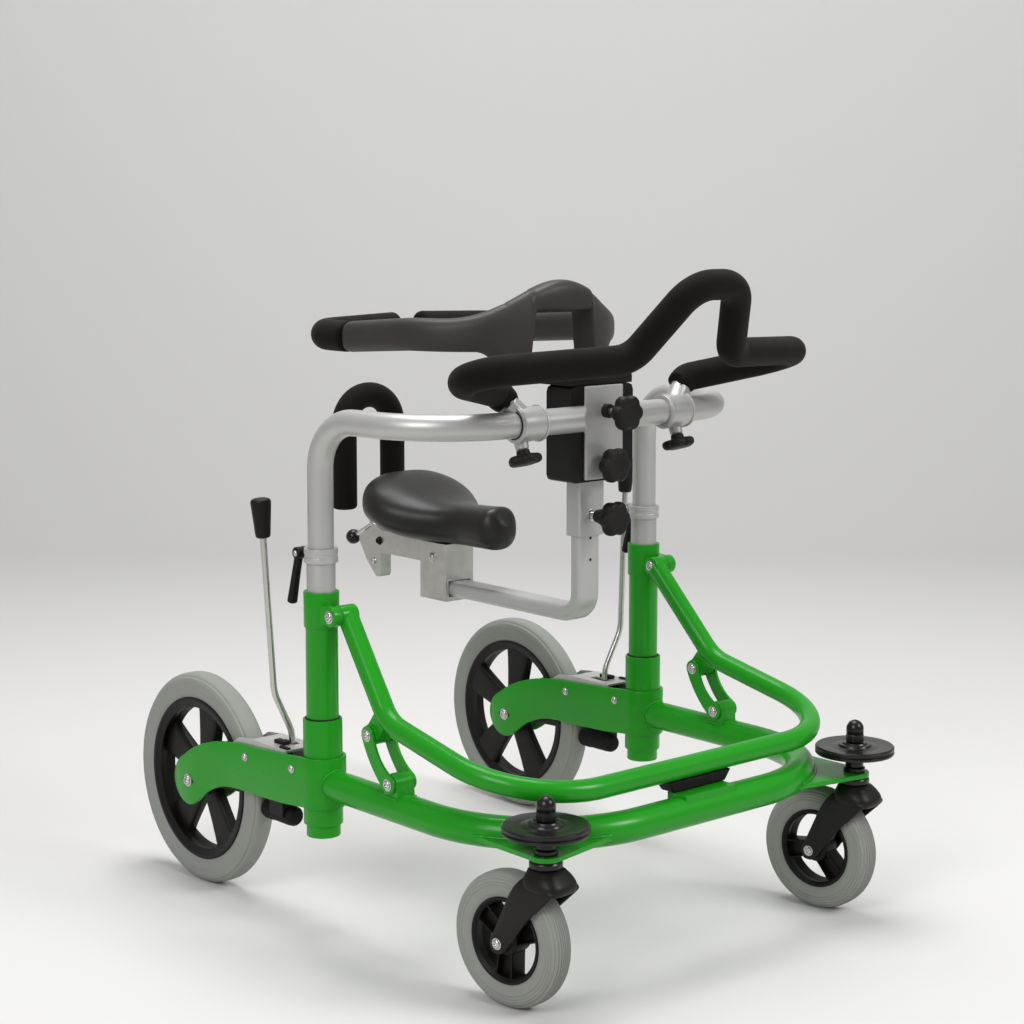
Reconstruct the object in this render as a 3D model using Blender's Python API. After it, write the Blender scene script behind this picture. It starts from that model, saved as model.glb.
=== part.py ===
"""Gait trainer for a child: wheeled frame, green front bow, silver top bow, ring, seat and handlebar.

Metres, +Z up, floor at z = 0, walking direction -Y, X = 0 is the plane of symmetry.
Y is counted from the plane of the two uprights; the root empty then centres the whole part.
Names ending in _right stand at X < 0 and _left at X > 0, as the user sees them.
"""
import bpy
import bmesh
import numpy as np
from math import acos, ceil, cos, pi, radians, sin, tan
from mathutils import Matrix, Vector

# Clearances
GAP = 0.0003            # between pieces that are welded, bolted or pressed together
SLIDE = 0.0005          # between pieces that slide or turn in each other

# Uprights: socket, upright tube, sleeve and leg of the top bow, from the outside in
HALF_TRACK = 0.2765
SOCKET_R = 0.0243
SOCKET_BOTTOM = 0.1361
SOCKET_TOP = 0.2686
CAP_R = 0.0211
CAP_HEIGHT = 0.0154
UPRIGHT_R = 0.0200
UPRIGHT_WALL = 0.0020
COLLAR_R = 0.0220
COLLAR_BOTTOM = 0.3833
COLLAR_TOP = 0.4276
LEG_R = 0.0160
SLEEVE_WALL = 0.0010
SLEEVE_BOTTOM = 0.300
SLEEVE_TOP = 0.4629
LEG_BOTTOM = 0.290

# Clamp ring and its lever on each sleeve
RING_R = 0.0210
RING_HEIGHT = 0.0174
CLAMP_LUG_WIDTH = 0.0090
CLAMP_PIVOT_Y = 0.0300
CLAMP_HUB_R = 0.0070
CLAMP_HUB_WIDTH = 0.0120
CLAMP_ARM_LENGTH = 0.0660

# Lower frame
TUBE_R = 0.0190
TUBE_Z = 0.188
FRAME_FRONT = 0.3856
FRAME_CORNER = 0.170
TAB_HALF_WIDTH = 0.042
TAB_HEIGHT = 0.0025
BUFFER_TOP_HALF = 0.0535
BUFFER_FOOT_HALF = 0.0430
BUFFER_FRONT = 0.3790
BUFFER_DEPTH = 0.0230

# Rear wheels and their forks
REAR_R = 0.140
REAR_WIDTH = 0.033
REAR_RIM_R = 0.108
REAR_HUB_R = 0.024
REAR_SPOKE_COUNT = 5
REAR_SPOKE_TURN = radians(24)      # of the first spoke, up from straight back
REAR_SPOKE_HALF = (0.0135, 0.0223)  # half width at the hub and at the rim
AXLE_BACK = 0.2637
AXLE_R = 0.0050
FORK_WALL = 0.0040
FORK_HEIGHT = 0.0637
FORK_BOTTOM = 0.159
FORK_END_R = 0.0335
BOLT_R = 0.0065
BOLT_HEIGHT = 0.0035
AXLE_TIP = 0.0045
FORK_UPPER_EDGE = ((0.0435, 0.2187), (0.0950, 0.2155), (0.1480, 0.2124), (0.1806, 0.2082),
                   (0.2027, 0.2039), (0.2308, 0.1952), (0.2537, 0.1852))   # back from the upright, height
FORK_LOWER_EDGE = ((0.2388, 0.1175), (0.2159, 0.1351), (0.1878, 0.1467), (0.1713, 0.1502),
                   (0.1496, 0.1520), (0.0965, 0.1528), (0.0449, 0.1549))
FORK_BOLTS = ((0.1289, 0.1981), (0.0270, 0.2033))

# Brakes
BRIDGE_WALL = 0.0030
BRIDGE_TOP = 0.2215
BRIDGE_FRONT = 0.045
BRIDGE_FLAT_END = 0.122
BRIDGE_SLOT_HALF = 0.0060
BRIDGE_SLOT = (0.0640, 0.0960)
BRIDGE_CHEEKS = ((0.150, 0.2185), (0.172, 0.205), (0.150, 0.185), (0.110, 0.170))
BRIDGE_BOTTOM = 0.168
LEVER_INSET = 0.0060
LEVER_PIVOT_Y = 0.0723
LEVER_PIVOT_Z = 0.190
LEVER_R = 0.0040
LEVER_FOOT = (0.0012, 0.0723, 0.236)     # out from the pivot, back from the upright, height
LEVER_BEND = (0.0295, 0.0698, 0.291)
LEVER_TOP = (0.0430, 0.0744, 0.5376)
LEVER_KNOB_R = 0.0130
LEVER_KNOB_LENGTH = 0.050
SHOE_R = 0.0130
SHOE_LENGTH = 0.0637
SHOE_GAP = 0.0040
SHOE_DROP = 0.0104       # shoe axis below the wheel axle
SHOE_ARM_IN = 0.0005       # the arm's reach to both sides of the shoe's axis
SHOE_ARM_OUT = 0.0165
SHOE_ARM_START = 0.0100
SHOE_ARM_END = 0.0240

# Castors
STEM_INSET = 0.0145
STEM_FORWARD = 0.396
CASTOR_R = 0.0784
CASTOR_WIDTH = 0.033
CASTOR_RIM_R = 0.0500
CASTOR_HUB_R = 0.0170
CASTOR_SPOKE_COUNT = 3
CASTOR_SPOKE_TURN = {"right": radians(35), "left": radians(-13)}
CASTOR_SPOKE_HALF = (0.0100, 0.0125)
CASTOR_TRAIL = 0.049
CASTOR_TURN = radians(7.4)
CASTOR_ARM = 0.0075
CASTOR_SIDE_GAP = 0.0030
CASTOR_TOP_GAP = 0.0045
CASTOR_HEAD_R = 0.0186
CASTOR_ARM_END_R = 0.013
CASTOR_BACK_EDGE = ((0.0340, 0.1480), (0.0460, 0.1220))      # back from the stem, and height
CASTOR_FRONT_EDGE = ((-0.0060, 0.1165), (-0.0310, 0.1430))
CASTOR_SHOULDER = 0.146
PLATE_BOTTOM = 0.1797
PLATE_THICKNESS = 0.0063
SPACER_R = 0.0118
SPACER_HEIGHT = 0.0220
STEM_R = 0.0055
BUMPER_R = 0.0496
BUMPER_THICKNESS = 0.0112
DOME_R = 0.0113
DOME_HEIGHT = 0.028

# Front bow, its pivots on the collars and the links under it
BOW_R = 0.0130
BOW_PIVOT = (-0.0360, 0.4014)
BOW_BEND = (-0.1345, 0.2865)
BOW_FRONT = (-0.3730, 0.2367)
BOW_FLARE = 0.0005         # the bow's sides stand this far outside the uprights
BOW_CORNER = 0.120
BARREL_R = 0.0125
BARREL_HALF = 0.0186
BOLT_PIN_R = 0.0045
LINK_HALF = 0.0178
LINK_WALL = 0.0040
LINK_BOTTOM = (-0.1526, 0.2184)
LINK_TOP = (-0.1131, 0.2706)
LINK_BOW = 0.0060        # sagitta of the curved link
LINK_CLEARANCE = 0.0008  # play in the pivot where the linkage is opened

# Top bow and the column bracket welded into it
TOP_Z = 0.6385
TOP_BEND = 0.0610
TOP_FRONT = 0.2060
TOP_DRAW = 0.0193          # how far the sides are drawn in where they would meet the front run
TOP_CORNER = 0.122
BRACKET_HALF = 0.0314
BRACKET_FRONT = 0.2110
BRACKET_PLATE = 0.0040
BRACKET_DROP = 0.0755      # below and above the axis of the top bow, as for the sizes that follow
BRACKET_RISE = 0.0395

# Handlebar
FOAM_R = 0.0180
GRIP_TUBE_R = 0.0120
GRIP_CLAMP_X = 0.1235
GRIP_CLAMP_HALF = 0.0205
GRIP_CLAMP_WALL = 0.0046
GRIP_STUB = 0.034
GRIP_FOAM_START = 0.042
GRIP_LEG = (0.1568, -0.1912, 0.0385)           # heights above the axis of the top bow
GRIP_CORNER = (0.3198, -0.2770, 0.0721)
GRIP_HUMP_BASE = (0.0830, -0.3417, 0.0825)
GRIP_HUMP_TOP = (0.0355, -0.3971, 0.1682)
GRIP_LEG_BEND = 0.0200
GRIP_BEND = 0.0366
GRIP_HUMP_BEND = 0.0440
GRIP_KNOB_AT = (0.1300, -0.2105, -0.0422)
GRIP_KNOB_TILT = radians(18)
GRIP_KNOB_R = 0.0212

# Column: guide block, housing of the seat tube, seat post and star knobs
BLOCK_HALF = 0.0525
BLOCK_FRONT = 0.2067
BLOCK_BACK = 0.1625
BLOCK_DROP = 0.0785
BLOCK_RISE = 0.0398
STRAP_HALF = 0.030
STRAP_WALL = 0.0050
HOUSING_FRONT = 0.1895
HOUSING_WIDTH = 0.042
HOUSING_DEPTH = 0.026
HOUSING_WALL = 0.0023
HOUSING_DROP = 0.1495
HOUSING_RISE = 0.0365
POST_WIDTH = 0.0360
POST_DEPTH = 0.0200
POST_DROP = 0.0385
POST_Z = 0.388
POST_BEND = 0.028
POST_END = 0.125
POST_HOLES = (0.0980, 0.0708)      # above the middle of the lower run
STAR_R = 0.0225
STAR_THICKNESS = 0.0180
STAR_NECK_R = 0.0085
STAR_STEM_R = 0.0045
STAR_LOBES = 6
RING_STAR = (0.2500, 0.0084)       # forward, and above the axis of the top bow
COLUMN_STAR = (0.2290, -0.0575)
SEAT_STAR = (0.2288, -0.1235)

# Torso ring, its carrier and the two gates
MAST_HALF = 0.0180
MAST_THICKNESS = 0.0080
MAST_DROP = 0.0635
CARRIER_PLATE = 0.0105
CARRIER_WING_HALF = 0.0790
CARRIER_WING_FRONT = 0.1500
CARRIER_BACK = 0.0980
PAD_HALF_WIDTH = 0.1515
PAD_FRONT = 0.1285
PAD_THICKNESS = 0.0330
PAD_ARM_END = 0.1040
PAD_ARM_RISE = (0.0700, 0.1095)    # underside and top, above the axis of the top bow
PAD_SIDE_RISE = (0.0785, 0.1195)
PAD_FRONT_RISE = (0.1245, 0.1655)
PAD_ARCH_HALF = 0.1350
WINDOW_HALF = 0.0470
LOBE_OUTER = 0.0780
GATE_R = 0.0200
GATE_END = 0.1770
GATE_BEND = 0.0320
GATE_TIP = 0.0200
GATE_PIN_R = 0.0060
GATE_PIN_LENGTH = 0.0300

# Saddle, its clamp on the post and the loop behind the user
SADDLE_NOSE = -0.0300
SADDLE_BACK = 0.2130
SADDLE_HALF = 0.0840
SADDLE_NOSE_HALF = 0.0300
SADDLE_BOTTOM = 0.4490
SADDLE_HEIGHT = 0.0730
SADDLE_RISE = 0.0190      # of the raised back
SADDLE_TAIL = 0.0120      # lift of the underside at the back
CAST_HALF = 0.0240
CAST_FRONT = 0.0680
CAST_GRIP = 0.0540       # length of the grip on the post
CAST_RAIL_Z = 0.4165
CAST_LIMB_HALF = 0.0092
CAST_LIMB_FRONT = 0.2285
CAST_BACK = 0.2768
CAST_DECK = 0.4365        # back edge of the sloping deck
CAST_SLOPE = radians(27)
CAST_LIMB_EDGE = ((0.2393, 0.0546), (0.2483, 0.0459), (0.2596, 0.0347))   # back, below the deck
BALL_R = 0.0105
BALL_PIVOT_Y = 0.2500
BALL_REACH = 0.0564       # from the lever's pivot, along the deck
BALL_RISE = 0.0050
LOOP_R = 0.0173
LOOP_HALF = 0.0418
LOOP_Y = 0.2660
LOOP_TOP = 0.6500
LOOP_TIP = 0.4765
LOOP_STEM_R = 0.0080
LOOP_STEM_DROP = 0.0165   # below the casting's deck

# Sides of the round pieces and the flat chords of their bends
BEND_TOLERANCE = 0.0012
UPRIGHT_SIDES = 16
CLAMP_SIDES = 20
PIN_SIDES = 12
BAR_SIDES = 10
REAR_SIDES = 30
CASTOR_SIDES = 22
DISC_SIDES = 22

# Sizes worked out from those above
FRONT_REACH = STEM_FORWARD + BUMPER_R * cos(pi / DISC_SIDES)
REAR_REACH = AXLE_BACK + REAR_R / cos(pi / REAR_SIDES)
UPRIGHT_Y = (FRONT_REACH - REAR_REACH) / 2
FORK_IN = SOCKET_R + GAP
FORK_OUT = FORK_IN + FORK_WALL
BOW_HALF_WIDTH = HALF_TRACK + BOW_FLARE
TOP_FRONT_HALF = HALF_TRACK - TOP_DRAW
STEM_X = HALF_TRACK - STEM_INSET
SOCKET_SEAT = SOCKET_BOTTOM + 0.003
UPRIGHT_BOTTOM = SOCKET_SEAT + GAP
BRACKET_BOTTOM = TOP_Z - BRACKET_DROP
BRACKET_TOP = TOP_Z + BRACKET_RISE
BLOCK_BOTTOM = TOP_Z - BLOCK_DROP
BLOCK_TOP = TOP_Z + BLOCK_RISE
HOUSING_BOTTOM = TOP_Z - HOUSING_DROP
HOUSING_TOP = TOP_Z + HOUSING_RISE
POST_TOP = TOP_Z - POST_DROP
MAST_BOTTOM = TOP_Z - MAST_DROP
PAD_ARM_Z = tuple(TOP_Z + rise for rise in PAD_ARM_RISE)
PAD_SIDE_Z = tuple(TOP_Z + rise for rise in PAD_SIDE_RISE)
PAD_FRONT_Z = tuple(TOP_Z + rise for rise in PAD_FRONT_RISE)
BARREL_SPLIT = BARREL_HALF * 0.32
LOOP_STEM_Z = CAST_DECK - LOOP_STEM_DROP

# Colour, roughness and metallic value of each finish, as read from the photograph (linear)
FINISHES = {
    "green": ((0.022, 0.300, 0.018), 0.28, 0.0),
    "silver": ((0.38, 0.37, 0.33), 0.34, 0.6),
    "steel": ((0.55, 0.55, 0.54), 0.25, 1.0),
    "tyre": ((0.245, 0.250, 0.225), 0.75, 0.0),
    "plastic": ((0.012, 0.011, 0.011), 0.45, 0.0),
    "gloss": ((0.010, 0.010, 0.010), 0.18, 0.0),
    "foam": ((0.012, 0.011, 0.010), 0.90, 0.0),
    "pad": ((0.030, 0.028, 0.027), 0.50, 0.0),
}


def grid(rings, cap=True, loop=False):
    """Verts and faces of a skin through rings of equal length, turned outward.

    The ends are capped, or the last ring is joined to the first where loop is set.
    """
    rings = np.array(rings, float)
    m, n = rings.shape[:2]
    verts = rings.reshape(-1, 3)
    faces = []
    for i in range(m if loop else m - 1):
        a, b = i * n, (i + 1) % m * n
        for j in range(n):
            k = (j + 1) % n
            faces.append((a + j, a + k, b + k, b + j))
    if cap and not loop:
        faces.append(tuple(reversed(range(n))))
        faces.append(tuple(range((m - 1) * n, m * n)))
    volume = 0.0
    for face in faces:
        for j in range(1, len(face) - 1):
            volume += np.dot(verts[face[0]], np.cross(verts[face[j]], verts[face[j + 1]]))
    if volume < 0:
        faces = [tuple(reversed(face)) for face in faces]
    return verts, faces


def circle(radius, sides):
    """Points of a circle in two axes."""
    t = np.arange(sides) * 2 * pi / sides
    return np.column_stack([radius * np.cos(t), radius * np.sin(t)])


def rounded(half_a, half_b, radius, steps=3):
    """Points of a rectangle with rounded corners."""
    points = []
    for k, (ca, cb) in enumerate(((1, 1), (-1, 1), (-1, -1), (1, -1))):
        for t in np.linspace(0, pi / 2, steps) + k * pi / 2:
            point = (ca * (half_a - radius) + radius * cos(t), cb * (half_b - radius) + radius * sin(t))
            points.append(point)
    return np.array(points)


def sweep(path, section, side=(1, 0, 0)):
    """A section carried along a path without twisting; one section, or one for each point."""
    path = np.array(path, float)
    step = np.diff(path, axis=0)
    step /= np.linalg.norm(step, axis=1)[:, None]
    along = np.vstack([step[:1], step[:-1] + step[1:], step[-1:]])
    along /= np.linalg.norm(along, axis=1)[:, None]
    sections = section if np.ndim(section) == 3 else [section] * len(path)
    side = np.array(side, float)
    rings = []
    for point, t, shape in zip(path, along, sections):
        side = side - t * side.dot(t)
        side /= np.linalg.norm(side)
        other = np.cross(t, side)
        rings.append(point + shape[:, :1] * side + shape[:, 1:] * other)
    return grid(rings)


def tube(path, radius, sides=BAR_SIDES, side=(0.31, 0.2, 0.93)):
    """A round bar along a path, its radius one value or one for each point."""
    radii = np.broadcast_to(radius, len(path))
    return sweep(path, np.array([circle(r, sides) for r in radii]), side)


def fillet(points, radii):
    """A path through corner points, each inner corner rounded to its radius within BEND_TOLERANCE."""
    points = [np.array(p, float) for p in points]
    path = [points[0]]
    for before, corner, after, radius in zip(points, points[1:], points[2:], radii):
        u = (before - corner) / np.linalg.norm(before - corner)
        v = (after - corner) / np.linalg.norm(after - corner)
        half = acos(max(-1.0, min(1.0, u.dot(v)))) / 2
        centre = corner + (u + v) / np.linalg.norm(u + v) * radius / sin(half)
        start = corner + u * radius / tan(half) - centre
        across = -u
        turn = pi - 2 * half
        steps = max(2, ceil(turn / (2 * acos(1 - BEND_TOLERANCE / radius))))
        for t in np.linspace(0, turn, steps + 1):
            path.append(centre + start * cos(t) + across * radius * sin(t))
    path.append(points[-1])
    return path


def lathe(profile, centre, axis="Z", sides=UPRIGHT_SIDES, ring=False):
    """A profile of (radius, height) pairs turned about an axis through centre.

    A ring profile is closed on itself; any other starts and ends with a flat cap.
    """
    rings = []
    for r, h in profile:
        c = circle(r, sides)
        h = np.full(sides, h)
        columns = {"X": (h, c[:, 0], c[:, 1]), "Y": (c[:, 1], h, c[:, 0]), "Z": (c[:, 0], c[:, 1], h)}[axis]
        rings.append(np.column_stack(columns) + np.array(centre, float))
    return grid(rings, loop=ring)


def rod(radius, start, end, centre, axis="Z", sides=PIN_SIDES):
    """A plain cylinder from start to end along an axis through centre."""
    return lathe([(radius, start), (radius, end)], centre, axis, sides)


def prism(outline, low, high, axis="X"):
    """An outline in the two other axes, in the order X, Y, Z, carried from low to high."""
    outline = np.array(outline, float)
    rings = []
    for h in (low, high):
        h = np.full(len(outline), h)
        a, b = outline[:, 0], outline[:, 1]
        columns = {"X": (h, a, b), "Y": (a, h, b), "Z": (a, b, h)}[axis]
        rings.append(np.column_stack(columns))
    return grid(rings)


def box(x, y, z, radius=0.0, axis="Z"):
    """A box between pairs of limits, the edges along one axis rounded."""
    spans = {"X": (y, z, x), "Y": (x, z, y), "Z": (x, y, z)}[axis]
    (a0, a1), (b0, b1), (c0, c1) = spans
    square = np.array([(1, 1), (-1, 1), (-1, -1), (1, -1)])
    outline = rounded((a1 - a0) / 2, (b1 - b0) / 2, radius) if radius else square
    if not radius:
        outline = outline * ((a1 - a0) / 2, (b1 - b0) / 2)
    return prism(outline + ((a0 + a1) / 2, (b0 + b1) / 2), c0, c1, axis)


def star(radius, thickness, lobes):
    """Rings of a lobed knob head about Z from height 0 up, its edges eased."""
    sides = 4 * lobes
    t = np.arange(sides) * 2 * pi / sides
    r = radius * (0.93 + 0.07 * np.cos(lobes * t))
    rings = []
    for scale, h in ((0.84, 0.0), (1.0, 0.25), (1.0, 0.70), (0.80, 1.0)):
        height = np.full(sides, h * thickness)
        rings.append(np.column_stack([scale * r * np.cos(t), scale * r * np.sin(t), height]))
    return grid(rings)


def moved(solid, matrix):
    """A solid carried by a matrix."""
    verts, faces = solid
    matrix = np.array(matrix)
    return verts @ matrix[:3, :3].T + matrix[:3, 3], faces


def band(start, end, half_width, sagitta, steps=6):
    """Outline of a curved flat bar with round ends between two points of a plane."""
    start, end = np.array(start, float), np.array(end, float)
    along = end - start
    length = np.linalg.norm(along)
    along /= length
    across = np.array([-along[1], along[0]])
    radius = (length ** 2 / 4 + sagitta ** 2) / (2 * abs(sagitta))
    centre = (start + end) / 2 - across * (radius - abs(sagitta)) * np.sign(sagitta)
    half = acos((radius - abs(sagitta)) / radius)
    outer, inner = [], []
    for t in np.linspace(-half, half, steps + 1):
        out = along * sin(t) + across * cos(t) * np.sign(sagitta)
        outer.append(centre + out * (radius + half_width))
        inner.append(centre + out * (radius - half_width))
    points = list(outer)
    for pivot, first in ((end, outer[-1]), (start, inner[0])):
        arm = (first - pivot) / np.linalg.norm(first - pivot) * half_width
        for t in np.linspace(0, pi, 7)[1:-1] * -np.sign(sagitta):
            turned = np.array([arm[0] * cos(t) - arm[1] * sin(t), arm[0] * sin(t) + arm[1] * cos(t)])
            points.append(pivot + turned)
        if pivot is end:
            points += inner[::-1]
    return points


def temporary(solid):
    """A scene object that holds a solid while it is combined."""
    verts, faces = solid
    mesh = bpy.data.meshes.new("temporary")
    mesh.from_pydata([tuple(v) for v in verts], [], faces)
    holder = bpy.data.objects.new("temporary", mesh)
    bpy.context.scene.collection.objects.link(holder)
    return holder


def combined(solid, steps):
    """The mesh of a solid after a list of (operation, solid) steps."""
    target = temporary(solid)
    tools = []
    for operation, other in steps:
        tool = temporary(other)
        tools.append(tool)
        boolean = target.modifiers.new(operation, "BOOLEAN")
        boolean.operation = operation
        boolean.solver = "EXACT"
        boolean.object = tool
    depsgraph = bpy.context.evaluated_depsgraph_get()
    mesh = bpy.data.meshes.new_from_object(target.evaluated_get(depsgraph))
    for holder in [target] + tools:
        bpy.data.objects.remove(holder, do_unlink=True)
    return mesh


def material(name, finish):
    """The piece's own Principled material."""
    colour, roughness, metallic = FINISHES[finish]
    made = bpy.data.materials.new(name + "_finish")
    made.use_nodes = True
    shader = made.node_tree.nodes["Principled BSDF"]
    shader.inputs["Base Color"].default_value = (*colour, 1.0)
    shader.inputs["Roughness"].default_value = roughness
    shader.inputs["Metallic"].default_value = metallic
    return made


def add(name, finish, solid, steps=(), origin=(0, 0, 0), side=1, parent=None, smooth=40):
    """Make one named piece: combine its solids, mirror it for side -1, hang it on its parent."""
    mesh = combined(solid, steps)
    mesh.name = name
    mesh.transform(Matrix.Translation(-Vector(origin)))
    if side < 0:
        mesh.transform(Matrix.Scale(-1, 4, Vector((1, 0, 0))))
        mesh.flip_normals()
    work = bmesh.new()
    work.from_mesh(mesh)
    bmesh.ops.remove_doubles(work, verts=work.verts, dist=1e-6)
    bmesh.ops.dissolve_degenerate(work, edges=work.edges, dist=1e-6)
    for face in work.faces:
        face.smooth = True
    for edge in work.edges:
        edge.smooth = len(edge.link_faces) == 2 and edge.calc_face_angle(0) < radians(smooth)
    work.to_mesh(mesh)
    work.free()
    piece = bpy.data.objects.new(name, mesh)
    bpy.context.scene.collection.objects.link(piece)
    mesh.materials.clear()
    mesh.materials.append(material(name, finish))
    piece.parent = parent or root
    piece.location = (origin[0] * side, origin[1], origin[2])
    return piece


def empty(name, location, parent=None, turn=0.0):
    """A named frame that carries the pieces of one assembly."""
    frame = bpy.data.objects.new(name, None)
    bpy.context.scene.collection.objects.link(frame)
    frame.location = location
    frame.rotation_euler = (0, 0, turn)
    frame.parent = parent
    return frame


def lower_frame():
    """One bent tube round the front and both sides, with the link lugs and the buffer tab on top."""
    side = HALF_TRACK
    corners = [(-side, 0, TUBE_Z), (-side, -FRAME_FRONT, TUBE_Z),
               (side, -FRAME_FRONT, TUBE_Z), (side, 0, TUBE_Z)]
    path = fillet(corners, [FRAME_CORNER] * 2)
    steps = []
    tab_z = TUBE_Z + TUBE_R + TAB_HEIGHT
    run = (-FRAME_FRONT - 0.012, -FRAME_FRONT + 0.020)
    steps.append(("UNION", box((-TAB_HALF_WIDTH, TAB_HALF_WIDTH), run, (TUBE_Z, tab_z))))
    y, z = LINK_BOTTOM
    half = LINK_HALF - LINK_WALL - SLIDE
    for s in (-1, 1):
        x = s * HALF_TRACK
        steps.append(("UNION", rod(BARREL_R, -half, half, (x, y, z), "X")))
        steps.append(("UNION", box((x - half, x + half), (y - 0.009, y + 0.009), (TUBE_Z, z))))
        steps.append(("DIFFERENCE", rod(BOLT_PIN_R + GAP, -0.03, 0.03, (x, y, z), "X")))
        seat = rod(FORK_OUT + GAP, TUBE_Z - 0.04, TUBE_Z + 0.04, (x, 0, 0), "Z", UPRIGHT_SIDES)
        steps.append(("DIFFERENCE", seat))
    add("lower_frame", "green", tube(path, TUBE_R, 12), steps)


def uprights(side, word):
    """Socket, the upright tube in it with its collar and bow lug, and the silver sleeve."""
    at = (HALF_TRACK, 0, 0)
    bore = UPRIGHT_R + GAP
    inner = UPRIGHT_R - UPRIGHT_WALL
    cap = SOCKET_BOTTOM - CAP_HEIGHT
    socket = [(CAP_R * 0.88, cap), (CAP_R, cap + 0.002), (CAP_R, SOCKET_BOTTOM), (SOCKET_R, SOCKET_BOTTOM),
              (SOCKET_R, SOCKET_TOP), (bore, SOCKET_TOP), (bore, SOCKET_SEAT)]
    add("upright_socket_" + word, "green", lathe(socket, at), side=side)

    leg = [(UPRIGHT_R, UPRIGHT_BOTTOM), (UPRIGHT_R, COLLAR_BOTTOM), (COLLAR_R, COLLAR_BOTTOM),
           (COLLAR_R, COLLAR_TOP), (inner, COLLAR_TOP), (inner, UPRIGHT_BOTTOM)]
    y, z = BOW_PIVOT
    low_x = HALF_TRACK - 0.0035 + BARREL_SPLIT
    high_x = HALF_TRACK - 0.0035 + BARREL_HALF
    steps = [("UNION", rod(BARREL_R, low_x, high_x, (0, y, z), "X")),
             ("UNION", box((low_x, high_x), (y, -inner * 0.7), (z - 0.010, z + 0.010))),
             ("DIFFERENCE", rod(inner, z - 0.03, COLLAR_TOP + 0.01, (HALF_TRACK, 0, 0), "Z", UPRIGHT_SIDES)),
             ("UNION", rod(BOLT_PIN_R, HALF_TRACK - 0.0035 - BARREL_HALF, low_x + 0.002, (0, y, z), "X")),
             ("UNION", rod(BOLT_R, high_x - 0.001, high_x + 0.003, (0, y, z), "X"))]
    add("upright_tube_" + word, "green", lathe(leg, at, ring=True), steps, side=side)

    out = inner - GAP
    sleeve_in = out - SLEEVE_WALL
    sleeve = [(out, SLEEVE_BOTTOM), (out, SLEEVE_TOP), (sleeve_in, SLEEVE_TOP), (sleeve_in, SLEEVE_BOTTOM)]
    add("height_sleeve_" + word, "silver", lathe(sleeve, at, ring=True), side=side)


def height_clamp(side, word):
    """Split ring on top of the sleeve and the lever that draws it tight."""
    low = SLEEVE_TOP + GAP
    high = low + RING_HEIGHT
    ring_in = LEG_R + SLIDE
    profile = [(ring_in, low), (RING_R, low), (RING_R, high), (ring_in, high)]
    lug = (HALF_TRACK - CLAMP_LUG_WIDTH / 2, HALF_TRACK + CLAMP_LUG_WIDTH / 2)
    z = (low + high) / 2
    hub = (lug[1] + GAP, lug[1] + GAP + CLAMP_HUB_WIDTH)
    steps = [("UNION", box(lug, (RING_R - 0.003, CLAMP_PIVOT_Y + 0.006), (low, high), 0.002, "X")),
             ("DIFFERENCE", rod(0.003 + GAP, lug[0] - 0.01, lug[1] + 0.01, (0, CLAMP_PIVOT_Y, z), "X"))]
    add("clamp_ring_" + word, "silver", lathe(profile, (HALF_TRACK, 0, 0), ring=True), steps, side=side)

    middle = (hub[0] + hub[1]) / 2
    end = z - CLAMP_ARM_LENGTH
    arm = fillet([(middle, CLAMP_PIVOT_Y, z), (middle, CLAMP_PIVOT_Y + 0.006, z - 0.022),
                  (middle, CLAMP_PIVOT_Y + 0.017, end)], [0.02])
    section = [rounded(0.0052, 0.0046, 0.0020)] * len(arm)
    section[-1] = section[-1] * 0.85
    steps = [("UNION", sweep(arm, np.array(section))),
             ("UNION", rod(0.003, lug[0], hub[0] + 0.002, (0, CLAMP_PIVOT_Y, z), "X"))]
    add("clamp_lever_" + word, "plastic", rod(CLAMP_HUB_R, hub[0], hub[1], (0, CLAMP_PIVOT_Y, z), "X"), steps,
        (middle, CLAMP_PIVOT_Y, z), side)


def wheel_fork(side, word):
    """Plate bent in a U round the socket, both flanks running back to the axle bolt."""
    top = FORK_BOTTOM + FORK_HEIGHT
    far = AXLE_BACK + FORK_END_R + 0.01
    plan = [(FORK_OUT, far), (FORK_IN, far)]
    plan += [(FORK_IN * cos(t), FORK_IN * sin(t)) for t in np.linspace(0, -pi, UPRIGHT_SIDES // 2 + 1)]
    plan += [(-FORK_IN, far), (-FORK_OUT, far)]
    plan += [(FORK_OUT * cos(t), FORK_OUT * sin(t)) for t in np.linspace(-pi, 0, UPRIGHT_SIDES // 2 + 1)]
    turn = np.radians(np.linspace(68, -102, 8))
    end = [(AXLE_BACK + FORK_END_R * cos(t), REAR_R + FORK_END_R * sin(t)) for t in turn]
    outline = [(0.0, top), *FORK_UPPER_EDGE, *end, *FORK_LOWER_EDGE, (0.004, FORK_BOTTOM),
               (-FORK_OUT - 0.01, FORK_BOTTOM), (-FORK_OUT - 0.01, top)]
    x = HALF_TRACK
    steps = [("INTERSECT", prism(outline, x - FORK_OUT - 0.01, x + FORK_OUT + 0.01))]
    reach = FORK_OUT + AXLE_TIP
    steps.append(("UNION", rod(AXLE_R, x - reach, x + reach, (0, AXLE_BACK, REAR_R), "X")))
    for y, z, r in ((AXLE_BACK, REAR_R, BOLT_R + 0.002), (*FORK_BOLTS[0], BOLT_R), (*FORK_BOLTS[1], BOLT_R)):
        for s in (-1, 1):
            ends = sorted((x + s * (FORK_OUT - 0.001), x + s * (FORK_OUT + BOLT_HEIGHT)))
            steps.append(("UNION", rod(r, ends[0], ends[1], (0, y, z), "X", 6)))
    low = REAR_R - FORK_END_R - 0.01
    add("wheel_fork_" + word, "green", prism(np.array(plan) + (x, 0), low, top + 0.01, "Z"), steps, side=side)


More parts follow.
